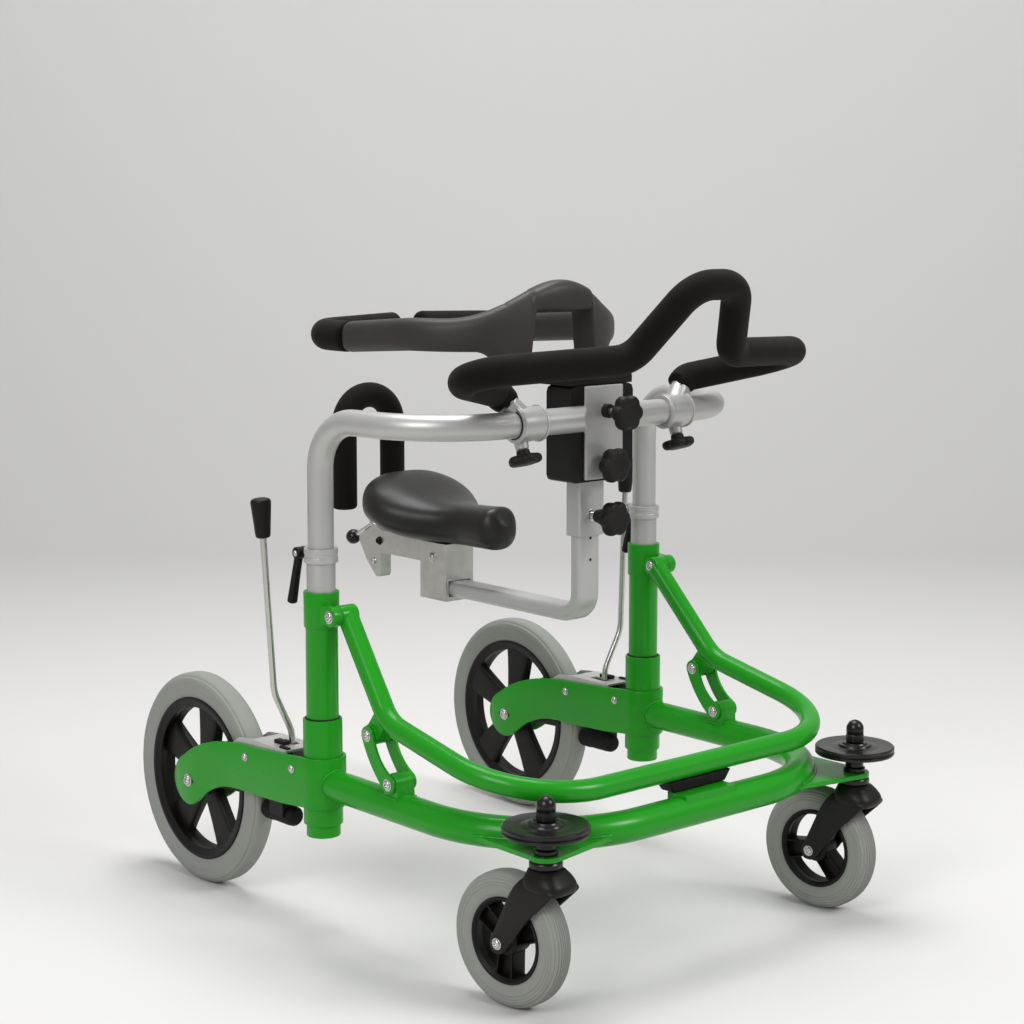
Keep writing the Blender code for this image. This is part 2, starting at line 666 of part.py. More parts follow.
def wheel(tyre_name, rim_name, radius, width, rim_r, hub_r, hub_half, bore, spokes, at, side,
          parent=None, segments=REAR_SIDES):
    """Soft tyre on a spoked plastic rim; at is its centre, spokes their count, turn and half widths."""
    half = width / 2
    profile = [(rim_r + GAP, -half * 0.80)]
    flats = 1 / cos(pi / segments)
    for t in np.radians((-75, -40, 40, 75)):
        reach = radius - 0.35 * width * (cos(radians(40)) - cos(t))
        profile.append((reach * flats, half * sin(t) / sin(radians(75))))
    profile.append((rim_r + GAP, half * 0.80))
    add(tyre_name, "tyre", lathe(profile, at, "X", segments, True), origin=at, side=side, parent=parent)

    edge, root = half * 0.80, half * 0.72
    rim = [(rim_r * 0.86, -root), (rim_r, -edge), (rim_r, edge), (rim_r * 0.86, root)]
    steps = [("UNION", rod(hub_r, -hub_half, hub_half, at, "X"))]
    count, first, (hub_half_width, rim_half_width) = spokes
    for k in range(count):
        turn = Matrix.Translation(at) @ Matrix.Rotation(2 * pi * k / count + first - pi / 2, 4, "X")
        inner, outer = hub_r * 0.6, rim_r * 0.93
        blade = [(-hub_half_width, inner), (hub_half_width, inner),
                 (rim_half_width, outer), (-rim_half_width, outer)]
        steps.append(("UNION", moved(prism(blade, -half * 0.42, half * 0.42), turn)))
    steps.append(("DIFFERENCE", rod(bore, -0.05, 0.05, at, "X", 10)))
    add(rim_name, "plastic", lathe(rim, at, "X", segments, True), steps, at, side, parent)


def brake(side, word):
    """Bridge between the fork flanks, long lever through its slot, and the rubber shoe before the tyre."""
    x = HALF_TRACK
    out = FORK_IN - GAP
    inside = out - BRIDGE_WALL
    outline = [(BRIDGE_FRONT, BRIDGE_BOTTOM), (BRIDGE_FRONT, BRIDGE_TOP), (BRIDGE_FLAT_END, BRIDGE_TOP),
               *BRIDGE_CHEEKS]
    rod_x = x - LEVER_INSET
    pivot = (rod_x, LEVER_PIVOT_Y, LEVER_PIVOT_Z)
    under, above = BRIDGE_BOTTOM - 0.1, BRIDGE_TOP + 0.1
    slot = (rod_x - BRIDGE_SLOT_HALF, rod_x + BRIDGE_SLOT_HALF)
    steps = [("DIFFERENCE", box((x - inside, x + inside), (0, AXLE_BACK), (under, BRIDGE_TOP - BRIDGE_WALL))),
             ("DIFFERENCE", box((x - inside, x + inside), (BRIDGE_FLAT_END, AXLE_BACK), (under, above))),
             ("DIFFERENCE", box(slot, BRIDGE_SLOT, (LEVER_PIVOT_Z + 0.010, above))),
             ("DIFFERENCE", rod(0.004 + GAP, rod_x - 0.03, rod_x, (0, pivot[1], pivot[2]), "X"))]
    add("brake_bridge_" + word, "silver", prism(outline, x - out, x + out), steps, side=side)

    foot, bend, top = (np.array(at) + (rod_x, 0, 0) for at in (LEVER_FOOT, LEVER_BEND, LEVER_TOP))
    direction = (top - bend) / np.linalg.norm(top - bend)
    path = fillet([pivot, foot, bend, top - direction * 0.01], [0.05] * 2)
    knob = [top - direction * LEVER_KNOB_LENGTH * t for t in (1.0, 0.92, 0.45, 0.08, 0.0)]
    radii = np.array((0.70, 0.80, 0.92, 1.0, 0.72)) * LEVER_KNOB_R
    steps = [("UNION", rod(0.0065, x - inside + SLIDE, rod_x + 0.0045, (0, pivot[1], pivot[2]), "X")),
             ("UNION", rod(0.004, x - out + GAP, rod_x, (0, pivot[1], pivot[2]), "X", 12)),
             ("UNION", tube(knob, radii, 12))]
    add("brake_lever_" + word, "steel", tube(path, LEVER_R, 8), steps, pivot, side)

    z = REAR_R - SHOE_DROP
    face = AXLE_BACK - (REAR_R ** 2 - SHOE_DROP ** 2) ** 0.5 - SHOE_GAP
    start = face - SHOE_LENGTH
    body = [(SHOE_R * 0.55, start), (SHOE_R * 0.86, start + 0.004), (SHOE_R, start + 0.012),
            (SHOE_R, face - 0.002), (SHOE_R * 0.9, face)]
    span = (x - SHOE_ARM_IN, x + SHOE_ARM_OUT)
    block = box(span, (start + SHOE_ARM_START, face - SHOE_ARM_END), (z, BRIDGE_TOP - BRIDGE_WALL - SLIDE))
    shoe = lathe(body, (x, 0, z), "Y", 14)
    add("brake_shoe_" + word, "plastic", shoe, [("UNION", block)], (x, face, z), side)


def castor(side, word):
    """Gusset, spacer and domed stem; free-rolling bumper disc; swivelling fork with its wheel."""
    x, y = STEM_X, -STEM_FORWARD
    top = PLATE_BOTTOM + PLATE_THICKNESS
    reach = FRAME_CORNER + TUBE_R + GAP
    centre = (HALF_TRACK - FRAME_CORNER, -FRAME_FRONT + FRAME_CORNER)
    inner, outer = np.radians(np.linspace(25, 72, 9)), np.radians(np.linspace(-95, 20, 9))
    outline = [(centre[0] + reach * cos(t), centre[1] - reach * sin(t)) for t in inner]
    outline += [(x + CASTOR_HEAD_R * cos(t), y + CASTOR_HEAD_R * sin(t)) for t in outer]
    disc_low = top + SPACER_HEIGHT + SLIDE
    disc_high = disc_low + BUMPER_THICKNESS
    dome = disc_high + 0.004 + SLIDE
    knob = [(DOME_R * 0.9, dome), (DOME_R, dome + 0.002), (DOME_R, dome + 0.55 * DOME_HEIGHT),
            (DOME_R * 0.88, dome + 0.80 * DOME_HEIGHT), (DOME_R * 0.45, dome + DOME_HEIGHT)]
    steps = [("UNION", rod(SPACER_R, top - 0.001, top + SPACER_HEIGHT, (x, y, 0))),
             ("UNION", rod(STEM_R, PLATE_BOTTOM - 0.014, dome + 0.002, (x, y, 0))),
             ("UNION", lathe(knob, (x, y, 0), sides=12))]
    add("castor_bracket_" + word, "green", prism(outline, PLATE_BOTTOM, top, "Z"), steps, side=side)

    bore = STEM_R + SLIDE
    disc = [(bore, disc_low), (BUMPER_R - 0.004, disc_low), (BUMPER_R, disc_low + 0.003),
            (BUMPER_R, disc_low + 0.008), (BUMPER_R - 0.003, disc_high), (0.026, disc_high),
            (0.024, disc_high + 0.004), (bore, disc_high + 0.004)]
    disc = lathe(disc, (x, y, 0), sides=DISC_SIDES, ring=True)
    add("bumper_disc_" + word, "gloss", disc, origin=(x, y, disc_low), side=side)

    swivel = empty("castor_swivel_" + word, (side * x, y, 0), root, CASTOR_TURN)
    half = CASTOR_WIDTH / 2
    inside = half + CASTOR_SIDE_GAP
    out = inside + CASTOR_ARM
    head = PLATE_BOTTOM - SLIDE
    crown = CASTOR_R * 2 + CASTOR_TOP_GAP
    turn = np.radians(np.linspace(35, -150, 7))
    end = [(CASTOR_TRAIL + CASTOR_ARM_END_R * cos(t), CASTOR_R + CASTOR_ARM_END_R * sin(t)) for t in turn]
    outline = [(-CASTOR_HEAD_R, head), (CASTOR_HEAD_R, head), (CASTOR_HEAD_R + 0.0014, head - 0.012),
               *CASTOR_BACK_EDGE, *end, *CASTOR_FRONT_EDGE,
               (-CASTOR_HEAD_R - 0.0159, crown - 0.004), (-CASTOR_HEAD_R - 0.0104, head - 0.008)]
    foot = CASTOR_R / 2
    neck = (CASTOR_HEAD_R + 0.001, head - 0.012)
    front = [(-CASTOR_HEAD_R, head + 0.001), (CASTOR_HEAD_R, head + 0.001), neck, (out, CASTOR_SHOULDER),
             (out, foot), (-out, foot), (-out, CASTOR_SHOULDER), (-neck[0], neck[1])]
    axle = (0, CASTOR_TRAIL, CASTOR_R)
    steps = [("INTERSECT", prism(front, -0.2, 0.2, "Y")),
             ("DIFFERENCE", rod(CASTOR_R + CASTOR_TOP_GAP, -inside, inside, axle, "X", CASTOR_SIDES)),
             ("DIFFERENCE", rod(STEM_R + SLIDE, PLATE_BOTTOM - 0.015, head + 0.01, (0, 0, 0))),
             ("UNION", rod(0.004, -out - 0.0035, out + 0.0035, axle, "X", 8)),
             ("UNION", rod(0.0065, out - 0.001, out + 0.0030, axle, "X", 6)),
             ("UNION", rod(0.0065, -out - 0.0030, -out + 0.001, axle, "X", 6))]
    add("castor_fork_" + word, "plastic", prism(outline, -out, out), steps, parent=swivel)
    wheel("castor_tyre_" + word, "castor_rim_" + word, CASTOR_R, CASTOR_WIDTH, CASTOR_RIM_R, CASTOR_HUB_R,
          inside - SLIDE, 0.004 + GAP, (CASTOR_SPOKE_COUNT, CASTOR_SPOKE_TURN[word], CASTOR_SPOKE_HALF),
          axle, 1, swivel, CASTOR_SIDES)


def bow_parts():
    """Front bow on its collar pivots, the two curved links and the buffer that it comes down on."""
    slope = (BOW_BEND[1] - BOW_FRONT[1]) / (BOW_BEND[0] - BOW_FRONT[0])
    pivot_x = HALF_TRACK - 0.0035 + BARREL_SPLIT - 0.002 - BOW_R
    top = (pivot_x, *BOW_PIVOT)
    corners = [(-pivot_x, *BOW_PIVOT), (-BOW_HALF_WIDTH, *BOW_BEND), (-BOW_HALF_WIDTH, *BOW_FRONT),
               (BOW_HALF_WIDTH, *BOW_FRONT), (BOW_HALF_WIDTH, *BOW_BEND), top]
    path = fillet(corners, [0.06, BOW_CORNER, BOW_CORNER, 0.06])
    steps = []
    half = LINK_HALF - LINK_WALL - SLIDE
    low_x = HALF_TRACK - 0.0035 - BARREL_HALF
    high_x = HALF_TRACK - 0.0035 + BARREL_SPLIT - SLIDE
    for s in (-1, 1):
        lo, hi = sorted((s * low_x, s * high_x))
        steps.append(("UNION", rod(BARREL_R, lo, hi, (0, *BOW_PIVOT), "X", 10)))
        y, z = LINK_TOP
        x = s * HALF_TRACK
        steps.append(("UNION", rod(BARREL_R, -half, half, (x, y, z), "X")))
        web = [(y - 0.008, z - 0.006), (y + 0.010, z + 0.006), (BOW_BEND[0] + 0.024, BOW_BEND[1] + 0.020),
               (BOW_BEND[0] - 0.004, BOW_BEND[1] - 0.002)]
        steps.append(("UNION", prism(web, x - half, x + half)))
        steps.append(("DIFFERENCE", rod(BOLT_PIN_R + SLIDE, lo - 0.01, hi + 0.01, (0, *BOW_PIVOT), "X")))
        steps.append(("DIFFERENCE", rod(BOLT_PIN_R + LINK_CLEARANCE, -0.03, 0.03, (x, y, z), "X")))
    add("front_bow", "green", tube(path, BOW_R), steps, (0, *BOW_PIVOT))

    for side, word in ((-1, "right"), (1, "left")):
        x = HALF_TRACK
        outline = band(LINK_BOTTOM, LINK_TOP, BARREL_R - 0.0015, -LINK_BOW)
        plates = [(x - LINK_HALF, x - LINK_HALF + LINK_WALL), (x + LINK_HALF - LINK_WALL, x + LINK_HALF)]
        steps = [("UNION", prism(outline, *plates[1]))]
        for y, z in (LINK_BOTTOM, LINK_TOP):
            near, far = x - LINK_HALF, x + LINK_HALF
            steps.append(("UNION", rod(BOLT_PIN_R, near + 0.001, far - 0.001, (0, y, z), "X", 8)))
            steps.append(("UNION", rod(BOLT_R, far - 0.001, far + 0.003, (0, y, z), "X", 6)))
            steps.append(("UNION", rod(BOLT_R, near - 0.003, near + 0.001, (0, y, z), "X", 6)))
        pins = steps[1], steps[4]
        joined = [pins[0], pins[1], steps[0]] + [s for k, s in enumerate(steps) if k not in (0, 1, 4)]
        add("bow_link_" + word, "green", prism(outline, *plates[0]), joined, (x, *LINK_BOTTOM), side)

    drop = BOW_R * (1 + slope ** 2) ** 0.5
    low = TUBE_Z + TUBE_R + TAB_HEIGHT + GAP
    high = BOW_FRONT[1] - drop - GAP
    outline = [(-BUFFER_FOOT_HALF, low), (BUFFER_FOOT_HALF, low), (BUFFER_TOP_HALF, high),
               (-BUFFER_TOP_HALF, high)]
    add("rubber_buffer", "plastic", prism(outline, -BUFFER_FRONT, -BUFFER_FRONT + BUFFER_DEPTH, "Y"))


def top_bow():
    """Silver bow: both legs, the flat top run and the bracket box welded into its front."""
    side, near = HALF_TRACK, TOP_FRONT_HALF
    corners = [(-side, 0, LEG_BOTTOM), (-side, 0, TOP_Z), (-near, -TOP_FRONT, TOP_Z),
               (near, -TOP_FRONT, TOP_Z), (side, 0, TOP_Z), (side, 0, LEG_BOTTOM)]
    path = fillet(corners, [TOP_BEND, TOP_CORNER, TOP_CORNER, TOP_BEND])
    plate = box((-BRACKET_HALF, BRACKET_HALF), (-BRACKET_FRONT, -BRACKET_FRONT + BRACKET_PLATE),
                (BRACKET_BOTTOM, BRACKET_TOP), 0.003, "Y")
    front = box((-BRACKET_HALF, BRACKET_HALF), (-0.3, -BRACKET_FRONT), (TOP_Z - 0.03, TOP_Z + 0.03))
    steps = [("DIFFERENCE", front), ("UNION", plate)]
    for reach, rise in (RING_STAR, COLUMN_STAR):
        at = (0, 0, TOP_Z + rise)
        hole = rod(STAR_STEM_R + GAP, -BRACKET_FRONT - 0.02, -BRACKET_FRONT + 0.012, at, "Y")
        steps.append(("DIFFERENCE", hole))
    add("top_bow", "silver", tube(path, LEG_R, 12), steps)


def star_knob(name, reach, rise, face, depth):
    """Lobed knob before the column: reach is its middle, face the wall it screws into."""
    z = TOP_Z + rise
    place = Matrix.Translation((0, -reach + STAR_THICKNESS / 2, z)) @ Matrix.Rotation(pi / 2, 4, "X")
    head = moved(star(STAR_R, STAR_THICKNESS, STAR_LOBES), place)
    steps = [("UNION", rod(STAR_NECK_R, -reach, min(-reach + 0.018, -face - GAP), (0, 0, z), "Y")),
             ("UNION", rod(STAR_STEM_R, -reach, -face + depth, (0, 0, z), "Y"))]
    add(name, "plastic", head, steps, (0, -reach, z))


def column():
    """Seat-tube housing, the L-shaped post in it, three star knobs and the guide block behind the plate."""
    face = -HOUSING_FRONT
    middle = face + HOUSING_DEPTH / 2
    outer = rounded(HOUSING_WIDTH / 2, HOUSING_DEPTH / 2, 0.003)
    inner = rounded(HOUSING_WIDTH / 2 - HOUSING_WALL, HOUSING_DEPTH / 2 - HOUSING_WALL, 0.001)
    steps = [("DIFFERENCE", prism(inner + (0, middle), HOUSING_BOTTOM - 0.01, HOUSING_TOP + 0.01, "Z")),
             ("DIFFERENCE", rod(STAR_STEM_R + GAP, face - 0.02, middle, (0, 0, TOP_Z + SEAT_STAR[1]), "Y"))]
    add("seat_tube_housing", "silver", prism(outer + (0, middle), HOUSING_BOTTOM, HOUSING_TOP, "Z"), steps)

    path = fillet([(0, middle, POST_TOP), (0, middle, POST_Z), (0, POST_END, POST_Z)], [POST_BEND])
    holes = [rod(0.0025, middle - 0.02, middle, (0, 0, POST_Z + rise), "Y", 10) for rise in POST_HOLES]
    post = sweep(path, rounded(POST_WIDTH / 2, POST_DEPTH / 2, 0.004))
    add("seat_post", "silver", post, [("DIFFERENCE", hole) for hole in holes], (0, middle, POST_Z))

    star_knob("ring_star_knob", *RING_STAR, BRACKET_FRONT, 0.010)
    star_knob("column_star_knob", *COLUMN_STAR, BRACKET_FRONT, 0.010)
    star_knob("seat_star_knob", *SEAT_STAR, HOUSING_FRONT, HOUSING_WALL - GAP)

    bore = -BLOCK_BACK - SLIDE
    strap_back = -BLOCK_BACK + MAST_THICKNESS + SLIDE + STRAP_WALL
    tall = (BLOCK_BOTTOM - 0.05, BLOCK_TOP + 0.05)
    tube_half, mast_half = HOUSING_WIDTH / 2 + SLIDE, MAST_HALF + SLIDE
    block = box((-BLOCK_HALF, BLOCK_HALF), (-BLOCK_FRONT, -BLOCK_BACK), (BLOCK_BOTTOM, BLOCK_TOP), 0.008, "Y")
    steps = [("UNION", box((-STRAP_HALF, STRAP_HALF), (bore - 0.004, strap_back), (BLOCK_BOTTOM, BLOCK_TOP))),
             ("DIFFERENCE", box((-tube_half, tube_half), (face - SLIDE, bore), tall)),
             ("DIFFERENCE", box((-mast_half, mast_half), (bore - 0.003, strap_back - STRAP_WALL), tall)),
             ("DIFFERENCE", rod(LEG_R + GAP, -0.1, 0.1, (0, -TOP_FRONT, TOP_Z), "X"))]
    for reach, rise in (RING_STAR, COLUMN_STAR):
        at = (0, 0, TOP_Z + rise)
        hole = rod(STAR_STEM_R + GAP, -BLOCK_FRONT - 0.02, -BRACKET_FRONT + 0.012, at, "Y")
        steps.append(("DIFFERENCE", hole))
    add("guide_block", "plastic", block, steps)


def handlebar():
    """Foam-covered bar with its raised middle, on two clamps that turn on the top bow."""
    foot = np.array((GRIP_CLAMP_X, -TOP_FRONT, TOP_Z))
    high = np.array((0, 0, TOP_Z))
    leg = np.array(GRIP_LEG) + high
    out = (leg - foot) / np.linalg.norm(leg - foot)
    start = foot + out * (GRIP_STUB + GAP)
    foam = foot + out * GRIP_FOAM_START
    half = [leg] + [np.array(point) + high for point in (GRIP_CORNER, GRIP_HUMP_BASE, GRIP_HUMP_TOP)]
    mirror = np.array((-1, 1, 1))
    corners = [foam] + half + [p * mirror for p in half[::-1]] + [foam * mirror]
    radii = [GRIP_LEG_BEND, GRIP_BEND, GRIP_BEND, GRIP_HUMP_BEND]
    radii += radii[::-1]
    steps = []
    for s in (1, -1):
        flip = np.array((s, 1, 1))
        steps.append(("UNION", tube([start * flip, (foam + out * 0.012) * flip], GRIP_TUBE_R)))
    add("handlebar", "foam", tube(fillet(corners, radii), FOAM_R), steps, (0, -TOP_FRONT, TOP_Z))

    bore = (LEG_R + SLIDE) / cos(pi / CLAMP_SIDES)
    wall = LEG_R + SLIDE + GRIP_CLAMP_WALL
    at = (GRIP_CLAMP_X, -TOP_FRONT, TOP_Z)
    half = GRIP_CLAMP_HALF
    low = [(bore, -half), (wall, -half), (wall, half), (bore, half)]
    head = np.array(GRIP_KNOB_AT) + high
    axis = np.array((0, sin(GRIP_KNOB_TILT), cos(GRIP_KNOB_TILT)))
    boss_end = head + axis * 0.0125
    for side, word in ((-1, "right"), (1, "left")):
        stub = tube([foot + out * 0.004, foot + out * GRIP_STUB], GRIP_TUBE_R + 0.0008)
        boss = tube([boss_end, head + axis * 0.030], 0.0080)
        hole = tube([head, head + axis * 0.0225], 0.0035 + GAP)
        through = rod(bore, -0.1, 0.1, at, "X", CLAMP_SIDES)
        steps = [("UNION", stub), ("UNION", boss), ("DIFFERENCE", through), ("DIFFERENCE", hole)]
        add("handlebar_clamp_" + word, "silver", lathe(low, at, "X", CLAMP_SIDES, True), steps, at, side)
        turn = Matrix.Translation(head) @ Matrix.Rotation(-GRIP_KNOB_TILT, 4, "X")
        knob = moved(star(GRIP_KNOB_R, 0.0110, 5), turn @ Matrix.Translation((0, 0, -0.0055)))
        steps = [("UNION", tube([head, boss_end - axis * GAP], 0.0075)),
                 ("UNION", tube([head, head + axis * 0.0215], 0.0035))]
        add("handlebar_clamp_knob_" + word, "plastic", knob, steps, tuple(head), side)


def pad_station(x, y):
    """Bottom and top of the ring pad at one point of its run."""
    if y > -0.02:
        t = min(1.0, (y + 0.02) / (PAD_ARM_END + 0.02))
        return tuple(a + (b - a) * t for a, b in zip(PAD_SIDE_Z, PAD_ARM_Z))
    across = abs(x)
    arch = cos(pi / 2 * min(1.0, across / PAD_ARCH_HALF)) ** 2
    top = PAD_SIDE_Z[1] + (PAD_FRONT_Z[1] - PAD_SIDE_Z[1]) * arch
    seat = BLOCK_TOP + SLIDE + CARRIER_PLATE + GAP
    if across < WINDOW_HALF:
        return PAD_FRONT_Z[0], top
    if across < LOBE_OUTER + 0.0001:
        return seat, top
    t = min(1.0, (across - LOBE_OUTER) / 0.022)
    return seat + (PAD_SIDE_Z[0] - seat) * t, top


def torso_ring():
    """Carrier whose mast slides in the guide block, the moulded ring on it and the gates on its arms."""
    low = BLOCK_TOP + SLIDE
    mast_front = -BLOCK_BACK
    mast = box((-MAST_HALF, MAST_HALF), (mast_front, mast_front + MAST_THICKNESS), (MAST_BOTTOM, low + 0.002))
    steps = [("UNION", box((-BLOCK_HALF, BLOCK_HALF), (-BLOCK_FRONT, -CARRIER_WING_FRONT + 0.004),
                           (low, low + CARRIER_PLATE), 0.003, "Z")),
             ("UNION", box((-CARRIER_WING_HALF, CARRIER_WING_HALF), (-CARRIER_WING_FRONT, -CARRIER_BACK),
                           (low, low + CARRIER_PLATE), 0.010, "Z"))]
    add("ring_carrier", "plastic", mast, steps, (0, mast_front, low))

    arm = [(PAD_HALF_WIDTH, y) for y in np.linspace(PAD_ARM_END, 0.0, 3)]
    edges = [PAD_HALF_WIDTH * cos(t) for t in np.radians((15, 30, 42, 50))]
    marks = [LOBE_OUTER + 0.022, LOBE_OUTER + 0.011, LOBE_OUTER, (LOBE_OUTER + WINDOW_HALF) / 2,
             WINDOW_HALF + 0.0008, WINDOW_HALF - 0.0008, WINDOW_HALF * 0.6, WINDOW_HALF * 0.2]
    run = sorted(set([e for e in edges if e > marks[0] + 0.006] + marks), reverse=True)
    front = [(x, -PAD_FRONT * (1 - (x / PAD_HALF_WIDTH) ** 2) ** 0.5) for x in run]
    plan = arm + front
    plan = plan + [(-x, y) for x, y in plan[::-1]]
    path, sections = [], []
    for x, y in plan:
        low, high = pad_station(x, y)
        path.append((x, y, (low + high) / 2))
        sections.append(rounded(PAD_THICKNESS / 2, (high - low) / 2, min(0.013, PAD_THICKNESS * 0.4), 3))
    flat = [(x, y, 0.0) for x, y, z in path]
    verts, faces = sweep(flat, np.array(sections), (1, 0, 0))
    count = len(sections[0])
    lift = np.repeat([z for x, y, z in path], count)
    verts = verts + np.column_stack([0 * lift, 0 * lift, lift])
    arm_z = sum(PAD_ARM_Z) / 2
    steps = []
    for s in (-1, 1):
        at = (s * PAD_HALF_WIDTH, 0, arm_z)
        hole = rod(GATE_PIN_R + GAP, PAD_ARM_END - GATE_PIN_LENGTH - SLIDE, PAD_ARM_END + 0.01, at, "Y")
        steps.append(("DIFFERENCE", hole))
    add("ring_pad", "pad", (verts, faces), steps, smooth=50)

    for side, word in ((-1, "right"), (1, "left")):
        start = PAD_ARM_END + SLIDE
        path = fillet([(PAD_HALF_WIDTH, start, arm_z), (PAD_HALF_WIDTH, GATE_END, arm_z),
                       (GATE_TIP, GATE_END, arm_z + 0.004)], [GATE_BEND])
        tip = path[-1] + (path[-2] - path[-1]) / np.linalg.norm(path[-2] - path[-1]) * 0.008
        path = [path[0], path[0] + np.array((0, 0.006, 0))] + path[1:-1] + [tip, path[-1]]
        radii = [GATE_R * 0.85] + [GATE_R] * (len(path) - 2) + [GATE_R * 0.7]
        pin = rod(GATE_PIN_R, start - GATE_PIN_LENGTH, start + 0.01, (PAD_HALF_WIDTH, 0, arm_z), "Y")
        gate = tube(path, radii, 12)
        add("ring_gate_" + word, "foam", gate, [("UNION", pin)], (PAD_HALF_WIDTH, start, arm_z), side)


def saddle_station(t):
    """Half width, underside and top of the saddle at t, from 0 at the nose to 1 at the back."""
    swell = 0.5 - 0.5 * cos(pi * min(1.0, max(0.0, (t - 0.25) / 0.5)))
    wide = SADDLE_NOSE_HALF + (SADDLE_HALF - SADDLE_NOSE_HALF) * swell
    end = (1 - max(0.0, (t - 0.72) / 0.28) ** 2.6) ** 0.5 if t < 1 else 0.0
    nose = (1 - max(0.0, (0.12 - t) / 0.12) ** 2.2) ** 0.5 if t > 0 else 0.0
    wide *= max(0.30, min(end, nose))
    top = SADDLE_BOTTOM + SADDLE_HEIGHT * (0.80 - 0.10 * sin(pi * t) + 0.20 * t ** 2)
    ease = max(0.0, (t - 0.86) / 0.14) ** 2 + max(0.0, (0.08 - t) / 0.08) ** 2
    back = min(1.0, max(0.0, (t - 0.40) / 0.45))
    lift = back * back * (3 - 2 * back)
    top += SADDLE_RISE * lift - 0.026 * ease
    low = SADDLE_BOTTOM + SADDLE_TAIL * lift ** 3 + 0.014 * ease
    return wide, low, top


def seat():
    """Saddle, the casting that grips the post, its ball lever and the foam loop behind the user."""
    rings = []
    turn = np.linspace(0, 2 * pi, 18, endpoint=False) + pi / 18
    ends = [0, 0.02, 0.06], [0.80, 0.87, 0.92, 0.96, 0.985, 1.0]
    for t in np.concatenate([ends[0], np.linspace(0.12, 0.72, 9), ends[1]]):
        wide, low, top = saddle_station(t)
        y = SADDLE_NOSE + (SADDLE_BACK - SADDLE_NOSE) * t
        c, s = np.cos(turn), np.sin(turn)
        x = wide * np.sign(c) * np.abs(c) ** 0.72
        middle = low + (top - low) * 0.46
        crown = middle + (top - middle) * np.abs(s) ** 0.80
        z = np.where(s > 0, crown, middle - (middle - low) * np.abs(s) ** 0.85)
        rings.append(np.column_stack([x, np.full(len(x), y), z]))
    add("saddle", "pad", grid(rings), origin=(0, SADDLE_BACK / 2, SADDLE_BOTTOM), smooth=60)

    seat_z = SADDLE_BOTTOM - GAP
    low, high = POST_Z - POST_DEPTH / 2 - SLIDE, POST_Z + POST_DEPTH / 2 + SLIDE
    grip = CAST_FRONT + CAST_GRIP
    outline = [(CAST_FRONT, seat_z), (CAST_FRONT, low - 0.006), (grip, low - 0.006), (grip, seat_z)]
    half = POST_WIDTH / 2 + SLIDE
    climb = tan(CAST_SLOPE)
    crest = CAST_LIMB_FRONT + 0.012
    limb_edge = [(back, CAST_DECK - drop) for back, drop in CAST_LIMB_EDGE]
    limb = [(grip - 0.010, CAST_RAIL_Z), (CAST_LIMB_FRONT, CAST_RAIL_Z),
            (CAST_LIMB_FRONT, limb_edge[0][1] + 0.004), (CAST_LIMB_FRONT + 0.004, limb_edge[0][1]),
            *limb_edge, (CAST_BACK, CAST_DECK - 0.008), (CAST_BACK, CAST_DECK),
            (crest, CAST_DECK + (CAST_BACK - crest) * climb), (CAST_LIMB_FRONT - 0.002, seat_z - 0.001),
            (grip - 0.010, seat_z - 0.001)]
    at = (0, BALL_PIVOT_Y, CAST_DECK + (CAST_BACK - BALL_PIVOT_Y) * climb)
    turn = Matrix.Translation(at) @ Matrix.Rotation(-CAST_SLOPE, 4, "X")
    steps = [("DIFFERENCE", box((-half, half), (0, grip + 0.01), (low, high))),
             ("UNION", prism(limb, -CAST_LIMB_HALF, CAST_LIMB_HALF)),
             ("DIFFERENCE", moved(rod(0.004 + GAP, -0.012, 0.02, (0, 0, 0)), turn))]
    add("saddle_clamp", "silver", prism(outline, -CAST_HALF, CAST_HALF), steps, (0, CAST_BACK, CAST_DECK))

    arc = np.radians(np.linspace(-80, 80, 7))
    profile = [(BALL_R * cos(t), BALL_RISE + BALL_R * sin(t)) for t in arc]
    bar = tube([(0, 0, 0.0055), (0, BALL_REACH, BALL_RISE)], 0.0032, 8)
    steps = [("UNION", moved(rod(0.004, -0.011, SLIDE + 0.002, (0, 0, 0)), turn)),
             ("UNION", moved(bar, turn)),
             ("UNION", moved(lathe(profile, (0, BALL_REACH, 0), sides=12), turn))]
    hub = moved(rod(0.0075, SLIDE, SLIDE + 0.0095, (0, 0, 0)), turn)
    add("saddle_clamp_lever", "plastic", hub, steps, at)

    high = LOOP_TOP - LOOP_R
    foam = fillet([(-LOOP_HALF, LOOP_Y, LOOP_TIP), (-LOOP_HALF, LOOP_Y, high), (LOOP_HALF, LOOP_Y, high),
                   (LOOP_HALF, LOOP_Y, LOOP_TIP - 0.004)], [LOOP_HALF * 0.98] * 2)
    foam = [foam[0], foam[0] + np.array((0, 0, 0.006))] + foam[1:]
    radii = [LOOP_R * 0.72] + [LOOP_R] * (len(foam) - 1)
    stem = fillet([(LOOP_HALF, LOOP_Y, LOOP_TIP + 0.02), (LOOP_HALF, LOOP_Y, LOOP_STEM_Z),
                   (CAST_LIMB_HALF + GAP, LOOP_Y, LOOP_STEM_Z)], [0.013])
    steps = [("UNION", tube(stem, LOOP_STEM_R, 8))]
    add("rear_loop", "foam", tube(foam, radii, 12), steps, (0, LOOP_Y, LOOP_STEM_Z))


